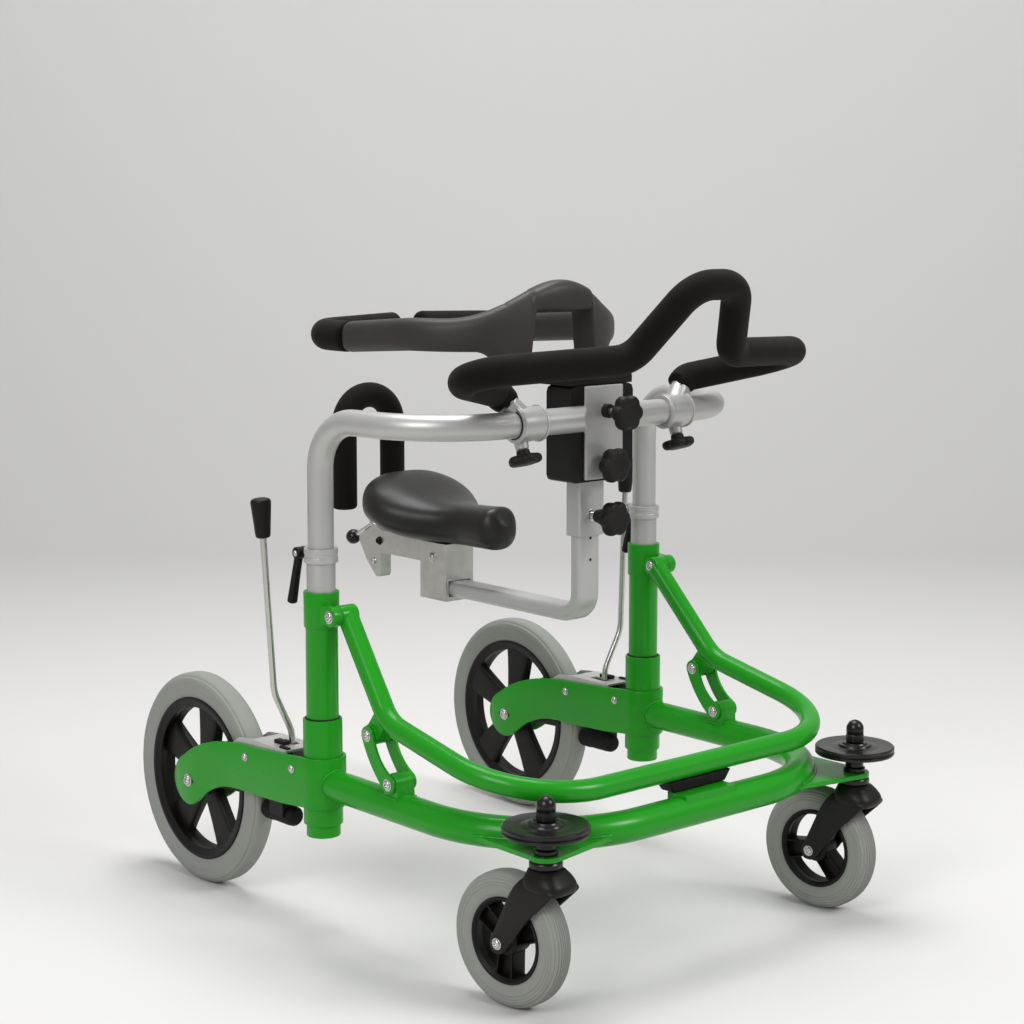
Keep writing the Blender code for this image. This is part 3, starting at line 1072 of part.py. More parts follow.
for old in list(bpy.data.objects):
    bpy.data.objects.remove(old, do_unlink=True)
root = empty("gait_trainer", (0, UPRIGHT_Y, 0))
lower_frame()
for s, word in ((-1, "right"), (1, "left")):
    uprights(s, word)
    height_clamp(s, word)
    wheel_fork(s, word)
    wheel("rear_tyre_" + word, "rear_rim_" + word, REAR_R, REAR_WIDTH, REAR_RIM_R, REAR_HUB_R,
          FORK_IN - SLIDE * 2, AXLE_R + GAP, (REAR_SPOKE_COUNT, REAR_SPOKE_TURN, REAR_SPOKE_HALF),
          (HALF_TRACK, AXLE_BACK, REAR_R), s)
    brake(s, word)
    castor(s, word)
bow_parts()
top_bow()
column()
handlebar()
torso_ring()
seat()
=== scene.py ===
"""A child's gait trainer: the painted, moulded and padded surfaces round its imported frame.

Metres, +Z up, floor at z = 0, walking direction -Y, user's right at X < 0.
"""

import bmesh
import bpy
import numpy as np
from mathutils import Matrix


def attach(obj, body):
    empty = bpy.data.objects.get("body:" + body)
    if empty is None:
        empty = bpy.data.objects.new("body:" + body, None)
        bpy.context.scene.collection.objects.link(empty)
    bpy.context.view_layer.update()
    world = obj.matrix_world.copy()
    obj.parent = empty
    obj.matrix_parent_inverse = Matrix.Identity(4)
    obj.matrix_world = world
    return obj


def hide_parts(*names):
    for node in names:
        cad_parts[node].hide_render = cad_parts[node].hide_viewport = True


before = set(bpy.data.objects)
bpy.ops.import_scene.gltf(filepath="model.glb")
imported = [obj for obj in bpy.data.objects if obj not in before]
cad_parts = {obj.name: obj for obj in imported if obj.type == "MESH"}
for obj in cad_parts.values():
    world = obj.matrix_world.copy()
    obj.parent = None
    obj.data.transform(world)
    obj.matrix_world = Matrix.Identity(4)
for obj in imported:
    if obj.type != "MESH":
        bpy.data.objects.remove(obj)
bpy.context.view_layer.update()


# Lower frame: one steel tube bent round the front and both sides, welded to the sockets at its ends.
# It carries a lug for each link and a tab under the front bow, and is powder coated in a glossy green.

# Sizes are measured from the plane of the two uprights, which stands this far behind the frame's middle.
UPRIGHT_Y = 0.020312
HALF_TRACK = 0.2765
SIDES = ((-1, "right"), (1, "left"))


def unit(vector):
    """A vector divided by its own length."""
    return vector / np.linalg.norm(vector)


def travelled(path):
    """Distance along a path from its start to each of its points."""
    return np.concatenate([[0], np.cumsum(np.linalg.norm(np.diff(path, axis=0), axis=1))])


def both_halves(half):
    """The corners of one half of a path, followed by their mirror image in reverse order."""
    half = np.asarray(half, float)
    return np.vstack([half, half[::-1] * (-1, 1, 1)])


def rounded_path(corners, radii, chord=0.004):
    """Straight runs joined by arcs: each inner corner gives way to an arc that touches both its runs.

    A corner that doesn't turn stays a plain point.
    """
    corners = np.asarray(corners, float)
    parts = [corners[:1]]
    for before, corner, after, radius in zip(corners, corners[1:], corners[2:], radii):
        back, on = unit(before - corner), unit(after - corner)
        if np.linalg.norm(back + on) < 1e-6:
            parts.append(corner[None])
            continue
        half = np.arccos(np.clip(back @ on, -1, 1)) / 2
        centre = corner + unit(back + on) * radius / np.sin(half)
        start = corner + back * radius / np.tan(half) - centre
        sweep = np.pi - 2 * half
        turn = np.linspace(0, sweep, max(5, int(radius * sweep / chord) + 2))[:, None]
        parts.append(centre + start * np.cos(turn) - back * radius * np.sin(turn))
    parts.append(corners[-1:])
    return np.vstack(parts)


def squarer(wave, power):
    """A sine or cosine with its size raised to a power: under 1, a circle drawn with it turns squarer."""
    return np.sign(wave) * np.abs(wave) ** power


def carried(path, section, side=(1, 0, 0)):
    """Grid of a section carried along a path: point + u * side + v * (tangent x side).

    Each side vector is the one before it with its part along the tangent taken out, so nothing twists.
    """
    path = np.asarray(path, float)
    step = np.diff(path, axis=0)
    step /= np.linalg.norm(step, axis=1)[:, None]
    along = np.vstack([step[:1], step[:-1] + step[1:], step[-1:]])
    along /= np.linalg.norm(along, axis=1)[:, None]
    sides = []
    side = np.asarray(side, float)
    for tangent in along:
        side = unit(side - tangent * (side @ tangent))
        sides.append(side)
    sides = np.array(sides)
    other = np.cross(along, sides)
    section = np.broadcast_to(section, (len(path),) + np.shape(section)[-2:])
    return path[:, None] + section[..., :1] * sides[:, None] + section[..., 1:] * other[:, None]


def bar(path, radius, sides=40):
    """Grid of a round bar: a circle of one radius, or of one radius for each point, along a path."""
    radii = np.broadcast_to(radius, len(path))[:, None, None]
    t = np.arange(sides) * 2 * np.pi / sides
    return carried(path, radii * np.column_stack([np.cos(t), np.sin(t)]), (0.31, 0.2, 0.93))


def slab(outline, low, high, axis="X"):
    """Grid of a flat plate: an outline in the two other axes, given at the low and high side of one axis."""
    a, b = np.asarray(outline, float).T
    rows = []
    for h in (low, high):
        h = np.full(len(a), h)
        rows.append(np.stack({"X": (h, a, b), "Y": (a, h, b), "Z": (a, b, h)}[axis], -1))
    return np.array(rows)


# An edge that turns by more degrees than this stays a sharp edge.
SHARP_ANGLE = 38


def shape(name, body, material, shells, replaces=(), sharp=SHARP_ANGLE, bevel=0.0, segments=2):
    """One finished object from grids of points: rows run along the piece and columns run round it.

    A grid alone is closed by a flat face at each end. A pair (grid, "loop") joins its last row to its first.
    """
    points, faces, first = [], [], 0
    for shell in shells:
        grid, kind = shell if isinstance(shell, tuple) else (shell, "ends")
        rows, columns = grid.shape[:2]
        row = np.arange(rows if kind == "loop" else rows - 1)[:, None]
        column = np.arange(columns)[None]
        here, below = row * columns, (row + 1) % rows * columns
        beside = (column + 1) % columns
        quads = np.stack([here + column, here + beside, below + beside, below + column], -1)
        faces += (quads.reshape(-1, 4) + first).tolist()
        if kind == "ends":
            faces.append(list(range(first, first + columns)))
            faces.append(list(range(first + (rows - 1) * columns, first + rows * columns)))
        points.append(grid.reshape(-1, 3))
        first += rows * columns
    mesh = bpy.data.meshes.new(name)
    mesh.from_pydata((np.vstack(points) + (0, UPRIGHT_Y, 0)).tolist(), [], faces)
    work = bmesh.new()
    work.from_mesh(mesh)
    bmesh.ops.recalc_face_normals(work, faces=work.faces)
    work.to_mesh(mesh)
    work.free()
    return finished(name, mesh, body, material, replaces, sharp, bevel, segments)


def finished(name, mesh, body, material, replaces, sharp, bevel, segments):
    """The object of a mesh: smooth but for its edges, with its material, body and replaced nodes."""
    mesh.shade_smooth()
    mesh.set_sharp_from_angle(angle=np.radians(sharp))
    mesh.materials.append(material)
    made = bpy.data.objects.new(name, mesh)
    bpy.context.scene.collection.objects.link(made)
    if bevel:
        edges = made.modifiers.new("edges", "BEVEL")
        edges.width = bevel
        edges.segments = segments
        edges.limit_method = "ANGLE"
        edges.angle_limit = np.radians(sharp)
        edges.harden_normals = True
    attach(made, body)
    if replaces:
        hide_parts(*([replaces] if isinstance(replaces, str) else replaces))
    return made


class Signal:
    """A socket of a material's node tree that answers to arithmetic by adding Math nodes."""

    def __init__(self, tree, socket=None):
        self.tree, self.socket = tree, socket

    def node(self, kind, settings, inputs, output=0):
        """Any node: its settings first, then the values or links of its sockets."""
        made = self.tree.nodes.new(kind)
        for key, value in settings.items():
            setattr(made, key, value)
        for key, value in inputs.items():
            if isinstance(value, Signal):
                self.tree.links.new(value.socket, made.inputs[key])
            else:
                made.inputs[key].default_value = value
        return Signal(self.tree, made.outputs[output])

    def maths(self, operation, first, second):
        """One Math node; a plain number stays a number in its socket."""
        return self.node("ShaderNodeMath", {"operation": operation}, {0: first, 1: second})

    def __add__(self, other):
        return self.maths("ADD", self, other)

    def __mul__(self, other):
        return self.maths("MULTIPLY", self, other)

    def place(self, stretch=(1, 1, 1)):
        """The object's own coordinates, stretched along its axes."""
        where = self.node("ShaderNodeTexCoord", {}, {}, "Object")
        return self.node("ShaderNodeMapping", {}, {"Vector": where, "Scale": stretch})

    def noise(self, scale, detail=2.0, stretch=(1, 1, 1)):
        """Soft noise about 0.5, its grains one over scale metres across."""
        inputs = {"Vector": self.place(stretch), "Scale": scale, "Detail": detail}
        return self.node("ShaderNodeTexNoise", {}, inputs, "Fac")

    def cells(self, scale, feature="F1"):
        """Distance to the nearest point of a scattered pattern."""
        inputs = {"Vector": self.place(), "Scale": scale}
        return self.node("ShaderNodeTexVoronoi", {"feature": feature}, inputs, "Distance")

    def tint(self, colour, change, amount):
        """A colour made lighter or darker: mixed with its own multiple as the change goes from 0 to 1."""
        dark = tuple(c * (1 - amount) for c in colour) + (1,)
        light = tuple(min(1.0, c * (1 + amount)) for c in colour) + (1,)
        return self.node("ShaderNodeMix", {"data_type": "RGBA"}, {"Factor": change, 6: dark, 7: light}, 2)

    def bump(self, height, depth, strength=1.0):
        """A normal that follows a height of 0 to 1, depth metres deep."""
        inputs = {"Height": height, "Distance": depth, "Strength": strength}
        return self.node("ShaderNodeBump", {}, inputs, "Normal")


def finish(name, constants, varying):
    """A Principled material: constants sit on its sockets, varying(signal) gives what changes over it."""
    material = bpy.data.materials.new(name)
    material.use_nodes = True
    tree = material.node_tree
    shader = tree.nodes["Principled BSDF"]
    for key, value in constants.items():
        shader.inputs[key].default_value = value
    for key, value in varying(Signal(tree)).items():
        tree.links.new(value.socket, shader.inputs[key])
    return material


GREEN = (0.0115, 0.2650, 0.0080)


def powder_coat(paint):
    """Fine orange peel over a slow change of thickness, a little duller where it is thin."""
    peel = paint.noise(900, 2) * 0.8 + paint.noise(300, 2) * 0.2
    return {"Base Color": paint.tint(GREEN, paint.noise(9, 3), 0.05),
            "Roughness": paint.noise(40, 3) * 0.06 + 0.26,
            "Normal": paint.bump(peel, 0.00005, 0.18)}


green_paint = finish("green_paint", {"Coat Weight": 0.12, "Coat Roughness": 0.14, "Specular IOR Level": 0.20},
                     powder_coat)

TUBE_R, TUBE_Z, TUBE_END, FRAME_FRONT, FRAME_CORNER = 0.0190, 0.188, 0.020, 0.3856, 0.170
frame_half = [(-HALF_TRACK, -TUBE_END, TUBE_Z), (-HALF_TRACK, -FRAME_FRONT, TUBE_Z)]
frame_path = rounded_path(both_halves(frame_half), [FRAME_CORNER] * 2)
shape("lower_frame_tube", "base", green_paint, [bar(frame_path, TUBE_R, 56)],
      replaces="lower_frame")

LINK_FOOT = (-0.1526, 0.2184)
LUG_HALF, LUG_R, LUG_FOOT_HALF = 0.0133, 0.0125, 0.0145


def lug_outline(pivot, radius, foot, half_foot):
    """A lug seen from the side: an arc over its pivot, both flanks running straight down to its foot."""
    t = np.radians(np.linspace(-10, 190, 25))
    arc = np.column_stack([pivot[0] + radius * np.cos(t), pivot[1] + radius * np.sin(t)])
    return np.vstack([arc, [(pivot[0] - half_foot, foot), (pivot[0] + half_foot, foot)]])


for side, word in SIDES:
    outline = lug_outline(LINK_FOOT, LUG_R, TUBE_Z + 0.006, LUG_FOOT_HALF)
    grid = slab(outline, HALF_TRACK - LUG_HALF, HALF_TRACK + LUG_HALF) * (side, 1, 1)
    shape("link_lug_" + word, "base", green_paint, [grid], bevel=0.0012)

TAB_HALF, TAB_FRONT, TAB_BACK, TAB_TOP = 0.042, -0.3976, -0.3656, 0.2095
tab = [(-TAB_HALF, TAB_FRONT), (TAB_HALF, TAB_FRONT), (TAB_HALF, TAB_BACK), (-TAB_HALF, TAB_BACK)]
shape("buffer_tab", "base", green_paint, [slab(tab, TUBE_Z, TAB_TOP, "Z")], bevel=0.0010)


# Welds: beads of filler where a tube or plate meets the next one, painted over with the frame.
# Each is a thin wavy bar along the line where the two surfaces cross.

# The frame's tube ends at the wheel fork's plate, which is bent round the socket at this radius.
WRAP_R = 0.0288


def bead(path, radius=0.0022):
    """Grid of a weld bead along a path: its radius swells and sinks by a tenth once every 3 mm."""
    return bar(path, radius * (1 + 0.10 * np.sin(travelled(path) * 2 * np.pi / 0.003)), 12)


t = np.linspace(0, 2 * np.pi, 160)
across, up = TUBE_R * np.cos(t), TUBE_R * np.sin(t)
around = np.column_stack([HALF_TRACK + across, -np.sqrt(WRAP_R ** 2 - across ** 2), TUBE_Z + up])
for side, word in SIDES:
    beads = [bead(around * (side, 1, 1))]
    for edge in (-1, 1):
        y = LINK_FOOT[0] + np.linspace(-0.0148, 0.0148, 40)
        z = TUBE_Z + np.sqrt(TUBE_R ** 2 - LUG_HALF ** 2) + 0.0005
        foot = np.column_stack([np.full(40, HALF_TRACK + edge * LUG_HALF), y, np.full(40, z)])
        beads.append(bead(foot * (side, 1, 1), 0.0018))
    shape("frame_welds_" + word, "base", green_paint, beads)


# Rubber buffer: a firm black rubber block on the tab, wider at the top than at its foot.
# The front bow rests on it when it is down.

BUFFER_FRONT, BUFFER_BACK, BUFFER_LOW, BUFFER_TOP = -0.3790, -0.3560, TAB_TOP + 0.0003, 0.2231
BUFFER_FOOT_HALF, BUFFER_HEAD_HALF = 0.0430, 0.0535
rubber = finish("black_rubber", {"Specular IOR Level": 0.22}, lambda r: {
    "Base Color": r.tint((0.0052, 0.0044, 0.0038), r.noise(30, 3), 0.20),
    "Roughness": r.noise(90, 2) * 0.14 + 0.60,
    "Normal": r.bump(r.noise(1500, 2), 0.0001, 0.5)})
wedge = [(-BUFFER_FOOT_HALF, BUFFER_LOW), (BUFFER_FOOT_HALF, BUFFER_LOW),
         (BUFFER_HEAD_HALF, BUFFER_TOP), (-BUFFER_HEAD_HALF, BUFFER_TOP)]
shape("rubber_block", "base", rubber, [slab(wedge, BUFFER_FRONT, BUFFER_BACK, "Y")],
      replaces="rubber_buffer", bevel=0.0020, segments=3)


# Sockets and uprights: a green tube stands in each socket of the lower frame, with a collar and a lug for
# the front bow. The socket is a turned steel sleeve with a welded cap below and a black wiper at its lip.


def turned(profile, centre, axis="Z", sides=64):
    """Grid of a profile of (radius, height) pairs turned about an axis through a centre."""
    radius, height = np.asarray(profile, float).T
    t = np.arange(sides) * 2 * np.pi / sides
    a, b = radius[:, None] * np.cos(t), radius[:, None] * np.sin(t)
    h = np.broadcast_to(height[:, None], a.shape)
    return np.stack({"X": (h, a, b), "Y": (b, h, a), "Z": (a, b, h)}[axis], -1) + np.asarray(centre, float)


def eased(profile, radius):
    """A profile with every inner corner rounded to the same radius."""
    return rounded_path(profile, [radius] * (len(profile) - 2), chord=0.0008)


def drum(inner, outer, low, high, ease=0.0008):
    """Profile of a plain round block: out at its low end, along it, and back in at its high end."""
    return eased([(inner, low), (outer, low), (outer, high), (inner, high)], ease)


def bolt_head(centre, out, radius, height=0.0032):
    """Turned dome head on a washer, with a round recess for the key, facing out along X."""
    profile = [(1.30, 0), (1.30, 0.22), (1.22, 0.28), (1.00, 0.28), (0.99, 0.55), (0.90, 0.82),
               (0.72, 0.97), (0.50, 1.00), (0.46, 0.96), (0.44, 0.55), (0.05, 0.50)]
    return turned(np.array(profile) * (radius, height * out), centre, "X", 36)


SOCKET_R, SOCKET_LOW, SOCKET_TOP = 0.0243, 0.1361, 0.2686
CAP_R, CAP_LOW = 0.0211, 0.1207
UPRIGHT_R, COLLAR_R, COLLAR_LOW, COLLAR_TOP = 0.0200, 0.0220, 0.3833, 0.4276
BOW_PIVOT = (-0.0360, 0.4014)
EYE_LOW, EYE_HIGH, BARREL_LOW = HALF_TRACK + 0.0025, HALF_TRACK + 0.0151, HALF_TRACK - 0.0221
wiper = finish("wiper_rubber", {"Specular IOR Level": 0.3}, lambda r: {
    "Base Color": r.tint((0.007, 0.007, 0.007), r.noise(60, 2), 0.2),
    "Roughness": r.noise(300, 2) * 0.1 + 0.5})
bright_steel = finish("bright_steel", {"Metallic": 1.0}, lambda s: {
    "Base Color": s.tint((0.58, 0.575, 0.56), s.noise(25, 2), 0.08),
    "Roughness": s.noise(220, 2, (1, 1, 0.08)) * 0.16 + 0.18,
    "Normal": s.bump(s.noise(2600, 2, (1, 1, 0.05)), 0.00003, 0.4)})

for side, word in SIDES:
    at = (side * HALF_TRACK, 0, 0)
    bore = UPRIGHT_R + 0.0003
    profile = eased([(0.002, CAP_LOW), (CAP_R, CAP_LOW), (CAP_R, SOCKET_LOW), (SOCKET_R, SOCKET_LOW),
                     (SOCKET_R, SOCKET_TOP), (bore, SOCKET_TOP), (bore, SOCKET_LOW + 0.004),
                     (0.002, SOCKET_LOW + 0.004)], 0.0007)
    shape("socket_" + word, "base", green_paint, [turned(profile, at)],
          replaces="upright_socket_" + word)
    lip_r = UPRIGHT_R + 0.0020
    ring = eased([(bore, SOCKET_TOP + 0.0001), (lip_r, SOCKET_TOP + 0.0001), (lip_r, SOCKET_TOP + 0.0010),
                  (UPRIGHT_R + 0.0004, SOCKET_TOP + 0.0016)], 0.0003)
    shape("wiper_ring_" + word, "base", wiper, [(turned(ring, at), "loop")])
    bottom = SOCKET_LOW + 0.01
    profile = eased([(0.0179, bottom), (UPRIGHT_R, bottom), (UPRIGHT_R, COLLAR_LOW), (COLLAR_R, COLLAR_LOW),
                     (COLLAR_R, COLLAR_TOP), (0.0180, COLLAR_TOP), (0.0180, COLLAR_TOP - 0.02)], 0.0008)
    eye = turned(drum(0.004, 0.0125, EYE_LOW, EYE_HIGH), (0, *BOW_PIVOT), "X")
    y, z = BOW_PIVOT
    web = slab([(y, z - 0.0105), (-0.010, z - 0.0125), (-0.010, z + 0.0125), (y, z + 0.0105)],
               EYE_LOW + 0.0003, EYE_HIGH - 0.0003)
    shape("upright_" + word, "base", green_paint,
          [(turned(profile, at), "loop"), eye * (side, 1, 1), web * (side, 1, 1)],
          replaces="upright_tube_" + word)
    pin = turned([(0.0045, BARREL_LOW), (0.0045, EYE_LOW + 0.001)], (0, *BOW_PIVOT), "X", 24)
    heads = [bolt_head((EYE_HIGH, *BOW_PIVOT), 1, 0.0062), bolt_head((BARREL_LOW, *BOW_PIVOT), -1, 0.0062)]
    shape("bow_pivot_bolt_" + word, "base", bright_steel,
          [part * (side, 1, 1) for part in heads + [pin]])


# Wheel forks: steel plate bent in a U round each socket, its two flanks running back to the wheel axle.
# Green paint over a laser-cut edge; the axle bolt sits in a slot and two bolts hold the brake bridge.

FORK_IN, FORK_OUT = 0.0246, 0.0286
AXLE_BACK, REAR_R, FORK_END_R = 0.2637, 0.140, 0.0335
FORK_TOP, FORK_BOTTOM = 0.2222, 0.1590
BRIDGE_BOLTS = ((0.1289, 0.1981), (0.0270, 0.2033))
t = np.radians(np.linspace(68, -102, 40))
fork_end = np.column_stack([AXLE_BACK + FORK_END_R * np.cos(t), REAR_R + FORK_END_R * np.sin(t)])
upper_run = [(-0.0300, FORK_TOP), (0.0033, FORK_TOP), (0.0435, 0.2187), (0.0950, 0.2152), (0.1480, 0.2124),
             (0.1806, 0.2082), (0.2027, 0.2039), (0.2308, 0.1952), (0.2537, 0.1855)]
lower_run = [(0.2388, 0.1175), (0.2159, 0.1351), (0.1878, 0.1467), (0.1713, 0.1502), (0.1496, 0.1520),
             (0.0965, 0.1528), (0.0449, 0.1549), (0.0045, FORK_BOTTOM), (-0.0300, FORK_BOTTOM)]


def smoothed(outline, window, step=0.0005):
    """An open line sampled evenly and averaged over a moving window, which rounds its corners."""
    outline = np.asarray(outline, float)
    length = travelled(outline)
    even = np.arange(0, length[-1], step)
    line = np.column_stack([np.interp(even, length, outline[:, k]) for k in range(outline.shape[1])])
    count = int(window / step) | 1
    padded = np.vstack([np.repeat(line[:1], count // 2, 0), line, np.repeat(line[-1:], count // 2, 0)])
    total = np.cumsum(np.vstack([0 * padded[:1], padded]), axis=0)
    return (total[count:] - total[:-count]) / count


edge_line = smoothed(np.vstack([upper_run, fork_end, lower_run]), 0.016)
turning = int(np.argmax(edge_line[:, 0]))
upper_edge, lower_edge = edge_line[:turning + 1], edge_line[turning:][::-1]
tip_y = edge_line[turning, 0]


def fork_sheet():
    """Grid of the bent plate: rows follow the U seen from above, columns go round the plate's section.

    At each row the section is a rectangle with eased corners, as high as the plate is at that distance back.
    """
    run = tip_y * np.cos(np.linspace(0, np.pi / 2, 60))[:-1]
    flank, angle = np.ones(len(run)), np.linspace(0, -np.pi, 49)
    middle, half, ease = (FORK_IN + FORK_OUT) / 2, (FORK_OUT - FORK_IN) / 2, 0.0010
    x = middle * np.concatenate([flank, np.cos(angle), -flank])
    y = np.concatenate([run, middle * np.sin(angle), run[::-1]])
    out = np.column_stack([x / middle, np.concatenate([0 * run, np.sin(angle), 0 * run]), 0 * x])
    back = np.maximum(y, 0)
    high = np.interp(back, upper_edge[:, 0], upper_edge[:, 1])
    low = np.interp(back, lower_edge[:, 0], lower_edge[:, 1])
    reach = np.maximum((high - low) / 2, 0.0002)
    soft = np.minimum(ease, reach * 0.6)
    t = np.radians([0, 45, 90])
    across, up = [], []
    for k, (outward, upward) in enumerate(((1, 1), (-1, 1), (-1, -1), (1, -1))):
        turn = t if k % 2 == 0 else t[::-1]
        across += list(outward * (half - ease + ease * np.cos(turn)))
        up += [(upward, lift) for lift in np.sin(turn)]
    height = np.array([upward * (reach - soft + soft * lift) for upward, lift in up]).T
    centre = np.column_stack([x, y, (high + low) / 2])
    return centre[:, None] + np.array(across)[None, :, None] * out[:, None] + height[..., None] * (0, 0, 1)


# Near-black green sheets painted as the shade inside the axle slots and the post's holes.
painted_hole_shade = finish("slot_shadow", {}, lambda d: {
    "Base Color": d.tint((0.006, 0.012, 0.005), d.noise(90), 0.3), "Roughness": d.noise(200) * 0.1 + 0.6})
t = np.linspace(0, 2 * np.pi, 48, endpoint=False)
axle_slot = np.column_stack([AXLE_BACK + 0.0125 * squarer(np.cos(t), 0.5),
                             REAR_R + 0.0030 * squarer(np.sin(t), 0.7)])
for side, word in SIDES:
    sheet = fork_sheet() + (HALF_TRACK, 0, 0)
    shape("fork_" + word, "base", green_paint, [sheet * (side, 1, 1)],
          replaces="wheel_fork_" + word)
    heads, slots = [], []
    for out in (1, -1):
        face = HALF_TRACK + FORK_OUT * out
        heads.append(bolt_head((face, AXLE_BACK, REAR_R), out, 0.0066, height=0.0042))
        heads += [bolt_head((face, *bolt), out, 0.0042) for bolt in BRIDGE_BOLTS]
        # A thin dark sheet on each face of the plate paints the shade inside the axle slot.
        slots.append(slab(axle_slot, face - 0.0005 * out, face + 0.00008 * out))
    shape("fork_bolts_" + word, "base", bright_steel, [h * (side, 1, 1) for h in heads])
    shape("axle_slot_shades_" + word, "base", painted_hole_shade, [s * (side, 1, 1) for s in slots])
    axle = turned([(0.0050, HALF_TRACK - FORK_OUT), (0.0050, HALF_TRACK + FORK_OUT)],
                  (0, AXLE_BACK, REAR_R), "X", 24)
    shape("rear_axle_rod_" + word, "base", bright_steel, [axle * (side, 1, 1)])


# Rear wheels: a soft grey tyre with a groove near each shoulder, on a moulded black rim. The rim has five
# broad straight-edged spokes and a wide hub.

tyre_grey = finish("grey_tyre", {"Specular IOR Level": 0.22}, lambda g: {
    "Base Color": g.tint((0.262, 0.268, 0.246), g.noise(16, 4) * 0.7 + g.noise(420, 2) * 0.3, 0.10),
    "Roughness": g.noise(120, 3) * 0.14 + 0.66, "Normal": g.bump(g.noise(1300, 3), 0.00012, 0.45)})


def moulded(colour, low, grain, depth):
    """Recipe of a moulded black plastic: fine spark grain, with a slow change of gloss."""
    return lambda p: {"Base Color": p.tint(colour, p.noise(14, 3), 0.22),
                      "Roughness": p.noise(70, 3) * 0.14 + low,
                      "Normal": p.bump(p.noise(grain, 2) * 0.8 + p.noise(90, 2) * 0.2, depth, 0.5)}


black_plastic = finish("black_plastic", {"Specular IOR Level": 0.22},
                       moulded((0.0046, 0.0037, 0.0032), 0.40, 1700, 0.00008))


def tyre(radius, width, rim_r, grooves, depth, rings=()):
    """Closed section of a tyre as (radius, height) pairs: a bowed tread with ring grooves, and two flanks.

    The tread's radius falls with the fourth power of the distance from the middle, and each groove takes a
    cosine dip out of it. A flank bulges a little between the shoulder and the rim, less a dip at each ring.
    """
    half = width / 2
    h = np.linspace(-0.86, 0.86, 241) * half
    r = radius - 0.30 * width * np.abs(h / half) ** 4.0
    for place in grooves:
        away = np.abs(h - place * half) / 0.0011
        r = r - depth * np.where(away < 1, 0.5 + 0.5 * np.cos(np.pi * away), 0)
    t = np.linspace(0, 1, 61)[1:]
    bulge = half * np.interp(t, (0, 0.06, 0.2, 0.5, 0.8, 1.0), (0.90, 0.95, 1.0, 1.0, 0.93, 0.80))
    for place in rings:
        away = np.abs(t - place) / 0.045
        bulge = bulge - 0.0007 * np.where(away < 1, 0.5 + 0.5 * np.cos(np.pi * away), 0)
    flank = np.column_stack([r[-1] + (rim_r - r[-1]) * t, bulge])
    return np.vstack([flank[::-1] * (1, -1), np.column_stack([r, h]), flank])


def rim(radius, half, hub_r, hub_half, bore, lip):
    """Sections of a rim and its hub: a band with a lip at each edge, and a hollow hub with eased ends."""
    inner = radius * 0.875
    band = eased([(inner, -half * 0.70), (radius - lip, -half * 0.92), (radius, -half * 0.92),
                  (radius, half * 0.92), (radius - lip, half * 0.92), (inner, half * 0.70),
                  (inner + 0.003, 0), (inner, -half * 0.69)], 0.0012)
    hub = eased([(bore, -hub_half), (hub_r * 0.62, -hub_half), (hub_r * 0.72, -hub_half * 0.80),
                 (hub_r, -half * 0.75), (hub_r, half * 0.75), (hub_r * 0.72, hub_half * 0.80),
                 (hub_r * 0.62, hub_half), (bore, hub_half)], 0.0010)
    return band, hub


def spoke(reach, middle, width, low, high, angle, flare=0.0):
    """Grid of one spoke: a slab with round edges from low to high across the wheel, carried outward.

    Its middle line and half width each run evenly from a hub value to a rim value. The half width also
    grows by the flare where the spoke meets the hub and the rim, as a fillet does.
    """
    u = np.linspace(0, 1, 40)
    away = reach[0] + (reach[1] - reach[0]) * u
    fillet = flare * (np.exp(-u / 0.12) + np.exp(-(1 - u) / 0.12))
    t = np.linspace(0, 2 * np.pi, 40, endpoint=False)
    half = (np.interp(u, (0, 1), width) + fillet)[:, None]
    across = np.interp(u, (0, 1), middle)[:, None] + half * squarer(np.cos(t), 0.35)
    thick = (low + high) / 2 + (high - low) / 2 * squarer(np.sin(t), 0.45)
    thick = np.broadcast_to(thick, across.shape)
    y = away[:, None] * np.cos(angle) - across * np.sin(angle)
    z = away[:, None] * np.sin(angle) + across * np.cos(angle)
    return np.stack([thick, y, z], -1)


REAR_WIDTH, REAR_RIM_R, REAR_HUB_R = 0.033, 0.108, 0.024
REAR_SPOKE_TURN = np.radians(24)
for side, word in SIDES:
    at = np.array((side * HALF_TRACK, AXLE_BACK, REAR_R))
    section = tyre(REAR_R, REAR_WIDTH, REAR_RIM_R, (-0.80, 0.80), 0.0009)
    shape("rear_tyre_" + word + "_tread", "rear_wheel_" + word, tyre_grey,
          [(turned(section, at, "X", 120), "loop")], replaces="rear_tyre_" + word)
    band, hub = rim(REAR_RIM_R, REAR_WIDTH / 2, REAR_HUB_R, 0.0230, 0.0058, 0.004)
    shells = [(turned(band, at, "X", 120), "loop"), (turned(hub, at, "X", 64), "loop")]
    for k in range(5):
        blade = spoke((REAR_HUB_R * 0.8, REAR_RIM_R * 0.90), (0, 0), (0.0145, 0.0238), -0.0125, 0.0030,
                      2 * np.pi * k / 5 + REAR_SPOKE_TURN, 0.0030)
        shells.append(blade * (side, 1, 1) + at)
    shape("rear_rim_" + word + "_moulding", "rear_wheel_" + word, black_plastic, shells,
          replaces="rear_rim_" + word)


# Brakes: a bent bridge between the fork flanks, a long steel lever through its slot with a black grip, and
# a rubber shoe on a silver arm before the tyre. The bridge is silver painted sheet with two rubber stops.

SILVER = (0.450, 0.445, 0.430)


def silver_coat(paint):
    """Metallic powder coat: tiny bright flakes in a grey paint, with a faint orange peel."""
    flakes = paint.cells(2600) * 0.35 + paint.noise(1100, 2) * 0.65
    return {"Base Color": paint.tint(SILVER, flakes * 0.6 + paint.noise(10, 3) * 0.4, 0.12),
            "Roughness": flakes * 0.10 + 0.33,
            "Normal": paint.bump(paint.noise(600, 2), 0.0001, 0.30)}


